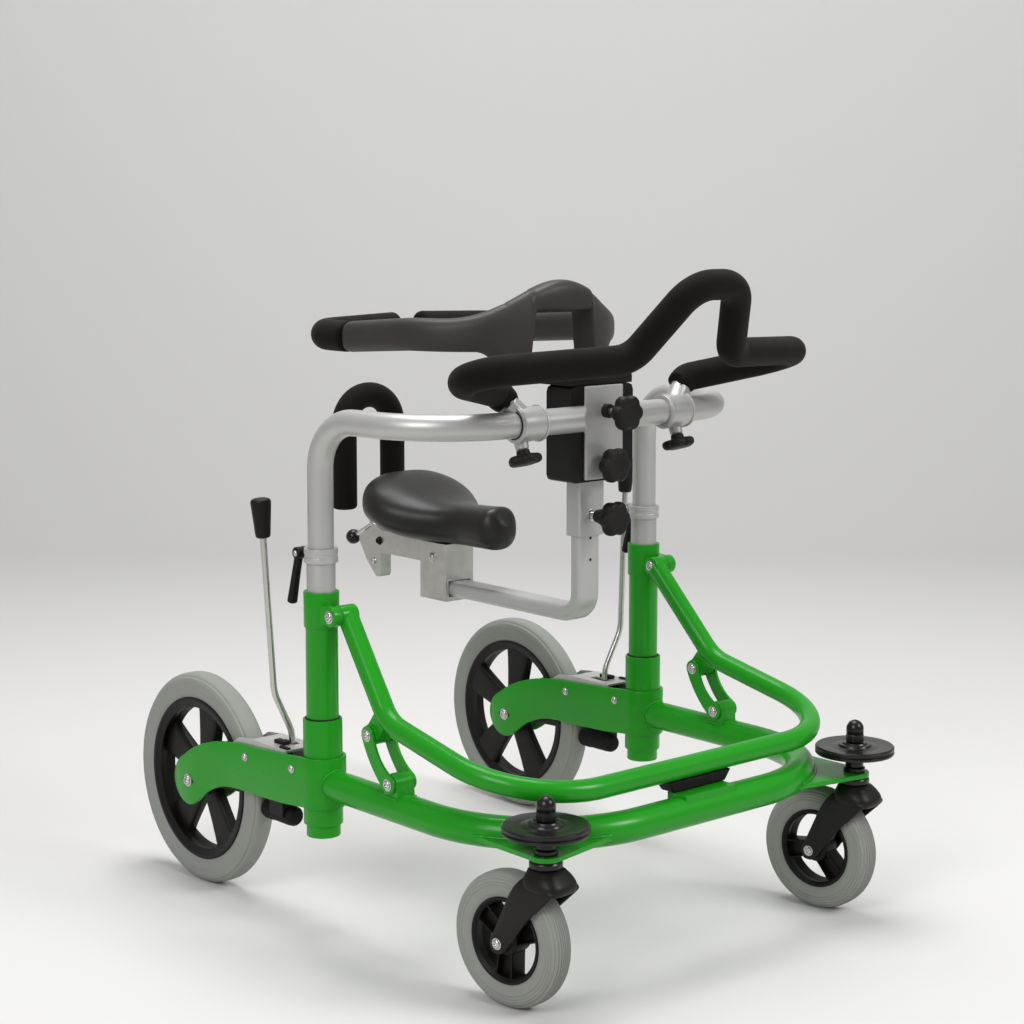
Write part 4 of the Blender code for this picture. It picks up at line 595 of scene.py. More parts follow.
silver_paint = finish("silver_paint", {"Metallic": 0.45, "Coat Weight": 0.12, "Coat Roughness": 0.2},
                      silver_coat)
drawn_steel = finish("drawn_steel", {"Metallic": 1.0}, lambda s: {
    "Base Color": s.tint((0.54, 0.53, 0.50), s.noise(25, 2), 0.08),
    "Roughness": s.noise(220, 2, (1, 1, 0.08)) * 0.12 + 0.22})


def softened(node, name, body, material, width, segments=2):
    """The node's own solid with its triangles merged into flat faces and its edges rounded a little."""
    work = bmesh.new()
    work.from_mesh(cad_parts[node].data)
    bmesh.ops.remove_doubles(work, verts=work.verts, dist=1e-6)
    bmesh.ops.dissolve_limit(work, angle_limit=np.radians(1.0), verts=work.verts, edges=work.edges)
    mesh = bpy.data.meshes.new(name)
    work.to_mesh(mesh)
    work.free()
    return finished(name, mesh, body, material, node, SHARP_ANGLE, width, segments)


LEVER_X, LEVER_Y, LEVER_Z = HALF_TRACK - 0.0060, 0.0723, 0.190
LEVER_BENDS = ((LEVER_X, LEVER_Y, LEVER_Z), (LEVER_X + 0.0012, LEVER_Y, 0.236),
               (LEVER_X + 0.0295, 0.0698, 0.291))
LEVER_TOP = np.array((LEVER_X + 0.0430, 0.0744, 0.5376))
ROD_R, GRIP_LENGTH, GRIP_R = 0.0040, 0.050, 0.0130
SHOE_DROP, SHOE_R, SHOE_LENGTH = 0.0104, 0.0130, 0.0637
shoe_face = AXLE_BACK - (REAR_R ** 2 - SHOE_DROP ** 2) ** 0.5 - 0.0040
shoe_z = REAR_R - SHOE_DROP
direction = unit(LEVER_TOP - LEVER_BENDS[2])
rod_path = rounded_path([*LEVER_BENDS, LEVER_TOP - direction * 0.01], [0.05, 0.05])
along = (0.0, 0.01, 0.04, 0.10, 0.30, 0.60, 0.82, 0.92, 0.97, 0.995)
swell = (0.50, 0.62, 0.70, 0.745, 0.80, 0.90, 0.97, 0.99, 0.88, 0.60)
place = np.linspace(0, 0.995, 70)
grip_path = LEVER_TOP - direction * GRIP_LENGTH * (1 - place)[:, None]
for side, word in SIDES:
    flip = np.array((side, 1, 1))
    softened("brake_bridge_" + word, "brake_plate_" + word, "base", silver_paint, 0.0007)
    stops = []
    for x_low, x_high, y_low, y_high, top in ((0.2776, 0.2878, 0.0677, 0.0898, 0.2262),
                                              (0.2915, 0.2975, 0.0470, 0.0650, 0.2240)):
        outline = [(x_low, y_low), (x_high, y_low), (x_high, y_high), (x_low, y_high)]
        stops.append(slab(outline, 0.2213, top, "Z") * flip)
    shape("bridge_stops_" + word, "base", rubber, stops, bevel=0.0012)
    pivot = (0, LEVER_Y, LEVER_Z)
    hub = turned(drum(0.002, 0.0065, HALF_TRACK - 0.0208, LEVER_X + 0.0045), pivot, "X")
    pin = turned([(0.0039, HALF_TRACK - 0.0240), (0.0039, LEVER_X)], pivot, "X", 24)
    shape("brake_rod_" + word, "brake_" + word, drawn_steel,
          [bar(rod_path, ROD_R, 28) * flip, hub * flip, pin * flip], replaces="brake_lever_" + word)
    grip = bar(grip_path, GRIP_R * np.interp(place, along, swell), 36)
    shape("brake_grip_" + word, "brake_" + word, black_plastic, [grip * flip])

    at = (side * HALF_TRACK, 0, shoe_z)
    start = shoe_face - SHOE_LENGTH
    profile = eased([(0.001, start), (0.0090, start), (0.0122, start + 0.0045), (SHOE_R, start + 0.0120),
                     (SHOE_R, shoe_face - 0.0020), (0.0115, shoe_face), (0.001, shoe_face)], 0.0010)
    ribs = [turned(eased([(0.0126, shoe_face - c - 0.0012), (0.0136, shoe_face - c - 0.0006),
                          (0.0136, shoe_face - c + 0.0006), (0.0126, shoe_face - c + 0.0012)], 0.0003),
                   at, "Y", 48) for c in (0.006, 0.012, 0.018)]
    shape("brake_shoe_rubber_" + word, "shoe_" + word, rubber,
          [turned(profile, at, "Y", 48)] + ribs, replaces="brake_shoe_" + word)
    arm_front, arm_back = start + 0.0100, shoe_face - 0.0240
    arm = slab([(HALF_TRACK, arm_front), (HALF_TRACK + 0.0155, arm_front), (HALF_TRACK + 0.0155, arm_back),
                (HALF_TRACK, arm_back)], shoe_z, 0.2175, "Z")
    shape("brake_shoe_arm_" + word, "shoe_" + word, black_plastic, [arm * flip],
          bevel=0.0012)


# Castors: a green gusset on each front corner holds the stem, with a free-rolling bumper disc on it under a
# black dome nut. Below, a black cast fork swivels on the stem and carries a ribbed tyre on a moulded rim.

STEM_X, STEM_Y = 0.262, -0.396
CASTOR_R, CASTOR_WIDTH, CASTOR_RIM_R, CASTOR_HUB_R, CASTOR_TRAIL = 0.0784, 0.033, 0.0500, 0.0170, 0.049
CASTOR_TURN = np.radians(7.4)
TREAD_GROOVES = (-0.78, -0.585, -0.39, -0.195, 0, 0.195, 0.39, 0.585, 0.78)
CASTOR_SPOKE_TURN = {"right": np.radians(35), "left": np.radians(-13)}
GUSSET_LOW, GUSSET_TOP = 0.1797, 0.1860
gloss_black = finish("gloss_black", {"Specular IOR Level": 0.32, "Coat Weight": 0.10, "Coat Roughness": 0.2},
                     lambda p: {"Base Color": p.tint((0.0048, 0.0040, 0.0035), p.noise(20, 3), 0.15),
                                "Roughness": p.noise(120, 2) * 0.06 + 0.26})
black_cast = finish("castor_black", {"Specular IOR Level": 0.26},
                    moulded((0.0056, 0.0045, 0.0039), 0.36, 950, 0.00010))


def swivelled(grid, side):
    """A grid given about the stem, turned by the castor's angle and set on its stem."""
    c, s = np.cos(CASTOR_TURN), np.sin(CASTOR_TURN)
    x, y, z = grid[..., 0], grid[..., 1], grid[..., 2]
    return np.stack([c * x - s * y + side * STEM_X, s * x + c * y + STEM_Y, z], -1)


def cast_form(table):
    """Grid of a cast limb from rows of back (y, z), front (y, z), and lowest and highest x.

    Each section is a rounded rectangle, a superellipse of power 3, that spans back to front and low to high:
    point = middle + (back - front) / 2 * u + (high - low) / 2 * v.
    """
    table = np.asarray(table, float)
    back, front, low, high = table[:, 0:2], table[:, 2:4], table[:, 4:5], table[:, 5:6]
    t = np.linspace(0, 2 * np.pi, 48, endpoint=False)
    u, v = squarer(np.cos(t), 2 / 3), squarer(np.sin(t), 2 / 3)
    middle, half = (back + front) / 2, (back - front) / 2
    x = (low + high) / 2 + (high - low) / 2 * v
    return np.stack([x, middle[:, :1] + half[:, :1] * u, middle[:, 1:] + half[:, 1:] * u], -1)


FORK_ARM_IN, FORK_ARM_OUT, FORK_ARM_END_R = 0.0194, 0.0270, 0.0125
crown = smoothed([(0.0165, 0.1702, -0.0165, 0.1702, -0.0165, 0.0165),
                  (0.0178, 0.1697, -0.0185, 0.1697, -0.0180, 0.0180),
                  (0.0184, 0.1680, -0.0215, 0.1680, -0.0192, 0.0192),
                  (0.0196, 0.1640, -0.0270, 0.1620, -0.0235, 0.0235),
                  (0.0212, 0.1600, -0.0318, 0.1560, -0.0262, 0.0262),
                  (0.0226, 0.1560, -0.0336, 0.1500, -0.0270, 0.0270),
                  (0.0236, 0.1535, -0.0318, 0.1455, -0.0268, 0.0268),
                  (0.0232, 0.1525, -0.0270, 0.1438, -0.0258, 0.0258)], 0.006, 0.0006)
limb = smoothed([(0.0120, 0.1640, -0.0120, 0.1620, 0.0120, 0.0180),
                 (0.0190, 0.1580, -0.0220, 0.1550, 0.0180, 0.0240),
                 (0.0262, 0.1500, -0.0300, 0.1490, FORK_ARM_IN, 0.0266),
                 (0.0334, 0.1390, -0.0238, 0.1418, FORK_ARM_IN, FORK_ARM_OUT),
                 (0.0410, 0.1230, -0.0100, 0.1290, FORK_ARM_IN, FORK_ARM_OUT),
                 (0.0480, 0.1080, 0.0046, 0.1157, FORK_ARM_IN, FORK_ARM_OUT),
                 (0.0545, 0.0942, 0.0253, 0.0885, FORK_ARM_IN, FORK_ARM_OUT),
                 (0.0593, 0.0855, 0.0387, 0.0713, FORK_ARM_IN, FORK_ARM_OUT)], 0.016, 0.0008)
t = np.linspace(0, np.radians(84), 14)[:, None]
axle_at = np.array((CASTOR_TRAIL, CASTOR_R))
beyond = axle_at + FORK_ARM_END_R * np.sin(t) * (0.565, -0.825)
aside = FORK_ARM_END_R * np.cos(t) * (0.825, 0.565)
tip = np.hstack([beyond + aside, beyond - aside, np.full_like(t, FORK_ARM_IN), np.full_like(t, FORK_ARM_OUT)])
fork_arm = cast_form(np.vstack([limb, tip]))

GUSSET_CENTRE = np.array((HALF_TRACK - FRAME_CORNER, -FRAME_FRONT + FRAME_CORNER))
BUMPER_R, DISC_LOW, DISC_TOP = 0.0496, GUSSET_TOP + 0.0225, GUSSET_TOP + 0.0337
DOME_LOW = DISC_TOP + 0.0045
for side, word in SIDES:
    t = np.radians(np.linspace(20, 77, 40))
    inner = GUSSET_CENTRE + (FRAME_CORNER + 0.012) * np.column_stack([np.cos(t), -np.sin(t)])
    t = np.radians(np.linspace(-100, 25, 40))
    outer = np.array((STEM_X, STEM_Y)) + 0.0186 * np.column_stack([np.cos(t), np.sin(t)])
    plate = slab(np.vstack([inner, outer]), GUSSET_LOW, GUSSET_TOP, "Z")
    shape("gusset_" + word, "base", green_paint, [plate * (side, 1, 1)],
          replaces="castor_bracket_" + word, bevel=0.0012)
    t = np.radians(np.linspace(24, 73, 70))
    seam = GUSSET_CENTRE + (FRAME_CORNER + 0.0193) * np.column_stack([np.cos(t), -np.sin(t)])
    seam = np.column_stack([seam, np.full(70, GUSSET_TOP + 0.0002)])
    shape("gusset_weld_" + word, "base", green_paint, [bead(seam * (side, 1, 1))])

    at = (side * STEM_X, STEM_Y, 0)
    spacer = eased([(0.003, GUSSET_TOP - 0.001), (0.0135, GUSSET_TOP - 0.001), (0.0135, GUSSET_TOP + 0.005),
                    (0.0112, GUSSET_TOP + 0.007), (0.0112, DISC_LOW - 0.0005), (0.003, DISC_LOW - 0.0005)],
                   0.0006)
    t = np.radians(np.linspace(0, 88, 24))
    dome = np.vstack([np.array([(0.002, 0), (0.0100, 0), (0.0113, 0.0010), (0.0113, 0.0090), (0.0106, 0.0096),
                                (0.0106, 0.0112), (0.0110, 0.0118)]) + (0, DOME_LOW),
                      np.column_stack([0.0110 * np.cos(t), DOME_LOW + 0.0160 + 0.0118 * np.sin(t)])])
    shape("stem_" + word, "base", gloss_black,
          [turned(spacer, at, sides=48), turned(dome, at, sides=48)])

    disc = eased([(0.0062, DISC_LOW), (0.0150, DISC_LOW), (0.0165, DISC_LOW + 0.0020),
                  (BUMPER_R - 0.0060, DISC_LOW + 0.0016), (BUMPER_R - 0.0010, DISC_LOW + 0.0006),
                  (BUMPER_R, DISC_LOW + 0.0020), (BUMPER_R, DISC_LOW + 0.0040),
                  (BUMPER_R - 0.0020, DISC_LOW + 0.0052), (BUMPER_R, DISC_LOW + 0.0064),
                  (BUMPER_R, DISC_TOP - 0.0016), (BUMPER_R - 0.0016, DISC_TOP), (0.0300, DISC_TOP - 0.0012),
                  (0.0215, DISC_TOP - 0.0004), (0.0205, DISC_TOP + 0.0018), (0.0160, DISC_TOP + 0.0022),
                  (0.0150, DISC_TOP + 0.0040), (0.0062, DISC_TOP + 0.0040), (0.0062, DISC_LOW + 0.0008)],
                 0.0004)
    shape("bumper_" + word + "_disc", "bumper_" + word, gloss_black,
          [(turned(disc, at, sides=96), "loop")], replaces="bumper_disc_" + word)

    castor = "castor_" + word
    casting = [cast_form(crown), fork_arm, fork_arm * (-1, 1, 1)]
    shape("castor_fork_casting_" + word, castor, black_cast,
          [swivelled(part, side) for part in casting], replaces="castor_fork_" + word, sharp=50)
    head = eased([(0.0070, 0.1700), (0.0172, 0.1700), (0.0190, 0.1722), (0.0190, 0.1770), (0.0176, 0.1791),
                  (0.0070, 0.1791)], 0.0006)
    shape("swivel_cap_" + word, castor, gloss_black,
          [swivelled(turned(head, (0, 0, 0), sides=48), side)])
    bolts = [bolt_head((s * FORK_ARM_OUT, CASTOR_TRAIL, CASTOR_R), s, 0.0052, height=0.0034) for s in (-1, 1)]
    shape("castor_bolts_" + word, castor, bright_steel, [swivelled(b, side) for b in bolts])

    wheel = "castor_wheel_" + word
    axle = (0, CASTOR_TRAIL, CASTOR_R)
    section = tyre(CASTOR_R, CASTOR_WIDTH, CASTOR_RIM_R, TREAD_GROOVES, 0.0014, (0.10, 0.26, 0.42))
    shape("castor_tyre_" + word + "_tread", wheel, tyre_grey,
          [(swivelled(turned(section, axle, "X", 110), side), "loop")], replaces="castor_tyre_" + word)
    band, hub = rim(CASTOR_RIM_R, CASTOR_WIDTH / 2, CASTOR_HUB_R, 0.0185, 0.0046, 0.003)
    shells = [(swivelled(turned(band, axle, "X", 96), side), "loop"),
              (swivelled(turned(hub, axle, "X", 48), side), "loop")]
    for k in range(3):
        angle = 2 * np.pi * k / 3 + CASTOR_SPOKE_TURN[word]
        reach = (CASTOR_HUB_R * 0.8, CASTOR_RIM_R * 0.90)
        blades = [spoke(reach, (0, 0), (0.0095, 0.0120), -0.0030, 0.0030, angle, 0.0020)]
        for s in (-1, 1):
            blades.append(spoke(reach, (0.0092 * s, 0.0115 * s), (0.0012, 0.0012), -0.0115, 0.0115,
                                angle, 0.0006))
        shells += [swivelled(blade + axle, side) for blade in blades]
    shape("castor_rim_" + word + "_moulding", wheel, black_plastic, shells,
          replaces="castor_rim_" + word)


# Front bow: one green tube bent round the front, hung from the collars by its two ends.
# Each side is held by a curved link of two plates, from a lug under the bow to a lug on the lower frame.

BOW_R, BOW_HALF_WIDTH = 0.0130, 0.2770
BOW_BEND, BOW_FRONT = (-0.1345, 0.2865), (-0.3730, 0.2367)
LINK_HEAD = (-0.1131, 0.2706)
bow_end = EYE_LOW - 0.002 - BOW_R
bow_half = [(-bow_end, *BOW_PIVOT), (-BOW_HALF_WIDTH, *BOW_BEND), (-BOW_HALF_WIDTH, *BOW_FRONT)]
bow_path = rounded_path(both_halves(bow_half), [0.06, 0.120, 0.120, 0.06])
shells = [bar(bow_path, BOW_R, 48)]
for side, word in SIDES:
    barrel = turned(drum(0.005, LUG_R, BARREL_LOW, HALF_TRACK + 0.0020), (0, *BOW_PIVOT), "X")
    eye = turned(drum(0.0055, LUG_R, -LUG_HALF, LUG_HALF), (HALF_TRACK, *LINK_HEAD), "X")
    y, z = LINK_HEAD
    bend_y, bend_z = BOW_BEND
    web = slab([(y - 0.0100, z - 0.0065), (y + 0.0110, z + 0.0058), (bend_y + 0.0130, bend_z + 0.0150),
                (bend_y - 0.0060, bend_z + 0.0010)], HALF_TRACK - 0.0105, HALF_TRACK + 0.0105)
    shells += [part * (side, 1, 1) for part in (barrel, eye, web)]
shape("bow_tube", "bow", green_paint, shells, replaces="front_bow")

LINK_HALF, LINK_WALL = 0.0178, 0.0040


def link_outline(foot, head, half_width, sagitta):
    """A curved bar seen from the side: a line bowed by the sagitta, widened both ways, with round ends."""
    foot, head = np.array(foot), np.array(head)
    u = np.linspace(0, 1, 30)[:, None]
    along = unit(head - foot)
    across = np.array((-along[1], along[0]))
    middle = foot + (head - foot) * u + across * sagitta * 4 * u * (1 - u)
    tangent = np.gradient(middle, axis=0)
    tangent /= np.linalg.norm(tangent, axis=1)[:, None]
    normal = np.column_stack([-tangent[:, 1], tangent[:, 0]])
    waist = half_width * (1 - 0.16 * np.sin(np.pi * u))
    t = np.linspace(0, np.pi, 18)[1:-1, None]
    far = head + half_width * (normal[-1] * np.cos(t) + tangent[-1] * np.sin(t))
    near = foot + half_width * (-normal[0] * np.cos(t) - tangent[0] * np.sin(t))
    return np.vstack([middle + normal * waist, far, (middle - normal * waist)[::-1], near])


outline = link_outline(LINK_FOOT, LINK_HEAD, 0.0112, -0.0060)
for side, word in SIDES:
    plates = [slab(outline, HALF_TRACK - LINK_HALF, HALF_TRACK - LINK_HALF + LINK_WALL),
              slab(outline, HALF_TRACK + LINK_HALF - LINK_WALL, HALF_TRACK + LINK_HALF)]
    shape("link_plates_" + word, "links", green_paint, [p * (side, 1, 1) for p in plates],
          replaces="bow_link_" + word, bevel=0.0010)
    bolts = []
    for pivot in (LINK_FOOT, LINK_HEAD):
        bolts += [bolt_head((HALF_TRACK + s * LINK_HALF, *pivot), s, 0.0058) for s in (-1, 1)]
        bolts.append(turned([(0.0045, -LINK_HALF), (0.0045, LINK_HALF)], (HALF_TRACK, *pivot), "X", 24))
    shape("link_bolts_" + word, "links", bright_steel, [b * (side, 1, 1) for b in bolts])


# Height clamps: a silver sleeve in each upright with a split ring on it, drawn tight by a black cam lever.
# The lever turns on a bolt through the ring's two ears and hangs down behind the upright.

RING_LOW, RING_TOP, RING_IN, RING_OUT = 0.4632, 0.4806, 0.0165, 0.0210
SLEEVE_LOW, SLEEVE_TOP, SLEEVE_IN, SLEEVE_OUT = 0.3000, RING_LOW - 0.0003, 0.0167, 0.0177
CLAMP_Y, CLAMP_Z = 0.0300, (RING_LOW + RING_TOP) / 2
EAR_HALF, HUB_LOW, HUB_HIGH = 0.0045, HALF_TRACK + 0.0048, HALF_TRACK + 0.0168
hub_middle = (HUB_LOW + HUB_HIGH) / 2
arm_path = rounded_path([(hub_middle, CLAMP_Y, CLAMP_Z), (hub_middle, CLAMP_Y + 0.006, CLAMP_Z - 0.022),
                         (hub_middle, CLAMP_Y + 0.017, CLAMP_Z - 0.066)], [0.03], 0.002)
arm_path = smoothed(arm_path, 0.006, 0.001)
u = np.linspace(0, 1, len(arm_path))
t = np.linspace(0, 2 * np.pi, 36, endpoint=False)
oval = np.column_stack([0.0058 * squarer(np.cos(t), 0.7), 0.0052 * squarer(np.sin(t), 0.7)])
taper = (0.86 + 0.20 * u ** 2) * np.sqrt(np.clip(1 - np.clip((u - 0.94) / 0.062, 0, 1) ** 2, 0.02, 1))
lever = carried(arm_path, taper[:, None, None] * oval)
lever_hub = turned(drum(0.001, 0.0075, HUB_LOW, HUB_HIGH, 0.0012), (0, CLAMP_Y, CLAMP_Z), "X", 40)
for side, word in SIDES:
    at = (side * HALF_TRACK, 0, 0)
    profile = eased([(SLEEVE_IN, SLEEVE_LOW), (SLEEVE_OUT, SLEEVE_LOW), (SLEEVE_OUT, SLEEVE_TOP),
                     (SLEEVE_IN, SLEEVE_TOP), (SLEEVE_IN, SLEEVE_LOW + 0.001)], 0.0003)
    shape("sleeve_" + word, "base", silver_paint, [(turned(profile, at), "loop")],
          replaces="height_sleeve_" + word)
    waist = RING_OUT - 0.0006
    ring = eased([(RING_IN, RING_LOW), (RING_OUT, RING_LOW), (RING_OUT, RING_LOW + 0.006),
                  (waist, RING_LOW + 0.0068), (waist, RING_TOP - 0.0068), (RING_OUT, RING_TOP - 0.006),
                  (RING_OUT, RING_TOP), (RING_IN, RING_TOP), (RING_IN, RING_LOW + 0.0005)], 0.0005)
    shape("split_ring_" + word, "base", silver_paint, [(turned(ring, at), "loop")],
          replaces="clamp_ring_" + word)
    ear = [(0.0185, RING_LOW + 0.0005), (0.0335, RING_LOW + 0.0005), (0.0365, CLAMP_Z),
           (0.0335, RING_TOP - 0.0005), (0.0185, RING_TOP - 0.0005)]
    ears = [slab(ear, HALF_TRACK + a, HALF_TRACK + b) for a, b in ((-EAR_HALF, -0.0007), (0.0007, EAR_HALF))]
    shape("split_ring_ears_" + word, "base", silver_paint, [e * (side, 1, 1) for e in ears],
          bevel=0.0008)
    shape("cam_lever_" + word, "clamp_" + word, black_plastic,
          [lever_hub * (side, 1, 1), lever * (side, 1, 1)], replaces="clamp_lever_" + word)
    bolt = bolt_head((HALF_TRACK - EAR_HALF, CLAMP_Y, CLAMP_Z), -1, 0.0040, height=0.003)
    cap = bolt_head((HUB_HIGH, CLAMP_Y, CLAMP_Z), 1, 0.0030, height=0.002)
    shape("clamp_bolt_" + word, "base", bright_steel, [bolt * (side, 1, 1)])
    shape("cam_pin_" + word, "clamp_" + word, bright_steel, [cap * (side, 1, 1)])


# Top bow: one silver steel tube, both legs standing in the sleeves, with a flat plate welded across its
# front. Behind the plate a black moulded block guides the ring's mast, and a silver square tube hangs down
# for the seat post.

LEG_R, LEG_BOTTOM, TOP_Z, TOP_FRONT, TOP_CORNER_X = 0.0160, 0.290, 0.6385, 0.2060, 0.2572
PLATE_HALF, PLATE_FRONT, PLATE_LOW, PLATE_TOP, WELD_REACH = 0.0314, 0.2110, 0.563, 0.678, 0.0125
top_half = [(-HALF_TRACK, 0, LEG_BOTTOM), (-HALF_TRACK, 0, TOP_Z), (-TOP_CORNER_X, -TOP_FRONT, TOP_Z)]
top_path = rounded_path(both_halves(top_half), [0.0610, 0.122, 0.122, 0.0610])

# The tube's front is cut back behind the plate, and runs out to its full round over the weld's reach.
near_plate = np.linspace(PLATE_HALF - 0.001, PLATE_HALF + WELD_REACH, 14)
near_plate = np.concatenate([-near_plate[::-1], near_plate])
added = np.column_stack([near_plate, np.full(28, -TOP_FRONT), np.full(28, TOP_Z)])
middle = len(top_path) // 2
tube = bar(np.vstack([top_path[:middle], added, top_path[middle:]]), LEG_R, 56)
blend = np.clip((np.abs(tube[..., 0]) - PLATE_HALF) / WELD_REACH, 0, 1) ** 0.5
cut_y, round_y = -PLATE_FRONT + 0.001, -TOP_FRONT - LEG_R
tube[..., 1] = np.maximum(tube[..., 1], cut_y + (round_y - cut_y) * blend)
shape("top_tube", "top", silver_paint, [tube], replaces="top_bow", sharp=50)
plate = [(-PLATE_HALF, PLATE_LOW), (PLATE_HALF, PLATE_LOW), (PLATE_HALF, PLATE_TOP), (-PLATE_HALF, PLATE_TOP)]
shape("front_plate", "top", silver_paint,
      [slab(plate, -PLATE_FRONT, -PLATE_FRONT + 0.004, "Y")], bevel=0.0012)
t = np.linspace(-1, 1, 60)
edge_bead = np.column_stack([np.full(60, PLATE_HALF + 0.0004), np.full(60, -PLATE_FRONT + 0.0012),
                             TOP_Z + (LEG_R + 0.001) * t])
shape("plate_welds", "top", silver_paint,
      [bead(edge_bead * (side, 1, 1), 0.0016) for side, _ in SIDES])

softened("guide_block", "guide_moulding", "top", black_plastic, 0.0024, segments=3)


def box_outline(half_a, half_b, radius):
    """Rectangle with round corners as points once round."""
    t = np.linspace(0, np.pi / 2, 6)
    corners = [(1, 1, 0), (-1, 1, 1), (-1, -1, 2), (1, -1, 3)]
    return np.vstack([np.column_stack([a * (half_a - radius) + radius * np.cos(t + k * np.pi / 2),
                                       b * (half_b - radius) + radius * np.sin(t + k * np.pi / 2)])
                      for a, b, k in corners])


HOUSING_FRONT, HOUSING_HALF_WIDTH, HOUSING_HALF_DEPTH, HOUSING_WALL = 0.1895, 0.021, 0.013, 0.0022
HOUSING_Y, HOUSING_LOW, HOUSING_TOP = -HOUSING_FRONT + HOUSING_HALF_DEPTH, 0.489, 0.675
rows = []
for wall, z in ((0, HOUSING_LOW), (0, HOUSING_TOP), (HOUSING_WALL, HOUSING_TOP), (HOUSING_WALL, HOUSING_LOW)):
    outline = box_outline(HOUSING_HALF_WIDTH - wall, HOUSING_HALF_DEPTH - wall, 0.003 - wall * 0.6)
    rows.append(np.column_stack([outline[:, 0], outline[:, 1] + HOUSING_Y, np.full(len(outline), z)]))
shape("seat_tube", "top", silver_paint, [(np.array(rows), "loop")],
      replaces="seat_tube_housing", bevel=0.0004)

POST_TOP, POST_LOW, POST_BACK, POST_HALF_WIDTH, POST_HALF_DEPTH = 0.600, 0.388, 0.125, 0.018, 0.010
post_path = rounded_path([(0, HOUSING_Y, POST_TOP), (0, HOUSING_Y, POST_LOW), (0, POST_BACK, POST_LOW)],
                         [0.028], 0.002)
shape("post", "post", silver_paint,
      [carried(post_path, box_outline(POST_HALF_WIDTH, POST_HALF_DEPTH, 0.0070))],
      replaces="seat_post", sharp=50)
front = HOUSING_Y - POST_HALF_DEPTH
# Two thin dark discs on the post's front paint the shade inside its two holes.
holes = [turned([(0.0019, front), (0.0019, front - 0.0001), (0.0015, front)], (0, 0, z), "Y", 24)
         for z in (0.4860, 0.4588)]
shape("post_hole_shades", "post", painted_hole_shade, holes)


# Star knobs: matt black, six soft lobes, moulded on a screw. Three clamp the ring's mast, the block and the
# seat post.


def star_knob(radius, thick, lobes, dish, depth=0.15):
    """Grid of a lobed knob along its own axis: round lobes with narrow valleys, the face dished.

    The radius is full on a lobe and falls by the depth as |cos(lobes t / 2)| goes to nought between two.
    """
    t = np.linspace(0, 2 * np.pi, lobes * 20, endpoint=False)
    swing = np.sqrt(0.05 + 0.95 * np.cos(lobes * t / 2) ** 2)
    rows = [(0.30, 0.00), (0.62, 0.02), (0.80, 0.06), (0.92, 0.16), (0.98, 0.30), (1.0, 0.45), (1.0, 0.66),
            (0.97, 0.80), (0.91, 0.91), (0.82, 0.98), (0.72, 1.0), (0.52, 0.98 - dish), (0.25, 0.97 - dish),
            (0.02, 0.97 - dish)]
    scale, height = np.array(rows).T
    deep = np.clip((scale - 0.25) / 0.6, 0, 1)[:, None]
    r = radius * scale[:, None] * (1 - depth * (1 - swing) / (1 - 0.05 ** 0.5) * deep)
    return np.stack([r * np.cos(t), r * np.sin(t), np.broadcast_to(thick * height[:, None], r.shape)], -1)


def facing_front(grid, y, z):
    """A grid about its own axis, turned to look forward, with its back at y and its middle at height z."""
    return np.stack([grid[..., 0], y - grid[..., 2], z + grid[..., 1]], -1)


knob_black = finish("knob_black", {"Specular IOR Level": 0.24},
                    moulded((0.0062, 0.0052, 0.0046), 0.46, 1300, 0.00014))
for name, reach, z, face, neck_r, neck_end, neck_length in (
        ("ring", 0.2500, 0.6469, PLATE_FRONT, 0.0090, 0.0090, 0.0175),
        ("column", 0.2290, 0.5810, PLATE_FRONT, 0.0100, 0.0085, 0.0176),
        ("seat", 0.2288, 0.5150, HOUSING_FRONT, 0.0120, 0.0080, 0.0300)):
    head = facing_front(star_knob(0.0225, 0.0180, 6, 0.05), -reach + 0.009, z)
    end = min(-reach + neck_length, -face - 0.0004)
    neck = turned(eased([(0.004, -reach + 0.006), (neck_r, -reach + 0.006), (neck_r, -reach + 0.011),
                         (neck_end, end), (0.004, end)], 0.0006), (0, 0, z), "Y", 40)
    shape(name + "_knob_head", name + "_knob", knob_black, [head, neck],
          replaces=name + "_star_knob")
    if name == "ring":
        collar = turned(drum(0.004, 0.0088, -face - 0.0100, -face - 0.0022), (0, 0, z), "Y", 40)
        shape("ring_knob_collar", "ring_knob", knob_black, [collar])
    screw = turned([(0.0042, -reach + 0.010), (0.0042, -face + 0.002)], (0, 0, z), "Y", 24)
    washer = turned(drum(0.003, 0.0078, -face - 0.0014, -face - 0.0001, 0.0003), (0, 0, z), "Y", 40)
    shape(name + "_knob_screw", name + "_knob", bright_steel, [screw, washer])


# Handlebar: a bent steel tube under thick black foam, raised in the middle, on two silver clamps that turn
# on the top bow. Each clamp is drawn tight by a small five-lobed knob from below.

foam = finish("black_foam", {"Specular IOR Level": 0.12, "Sheen Weight": 0.04, "Sheen Roughness": 0.5},
              lambda f: {"Base Color": f.tint((0.0046, 0.0034, 0.0026), f.noise(24, 3), 0.20),
                         "Roughness": f.noise(60, 2) * 0.10 + 0.78,
                         "Normal": f.bump(f.cells(1500) * 0.6 + f.noise(900, 3) * 0.4, 0.00035, 0.6)})


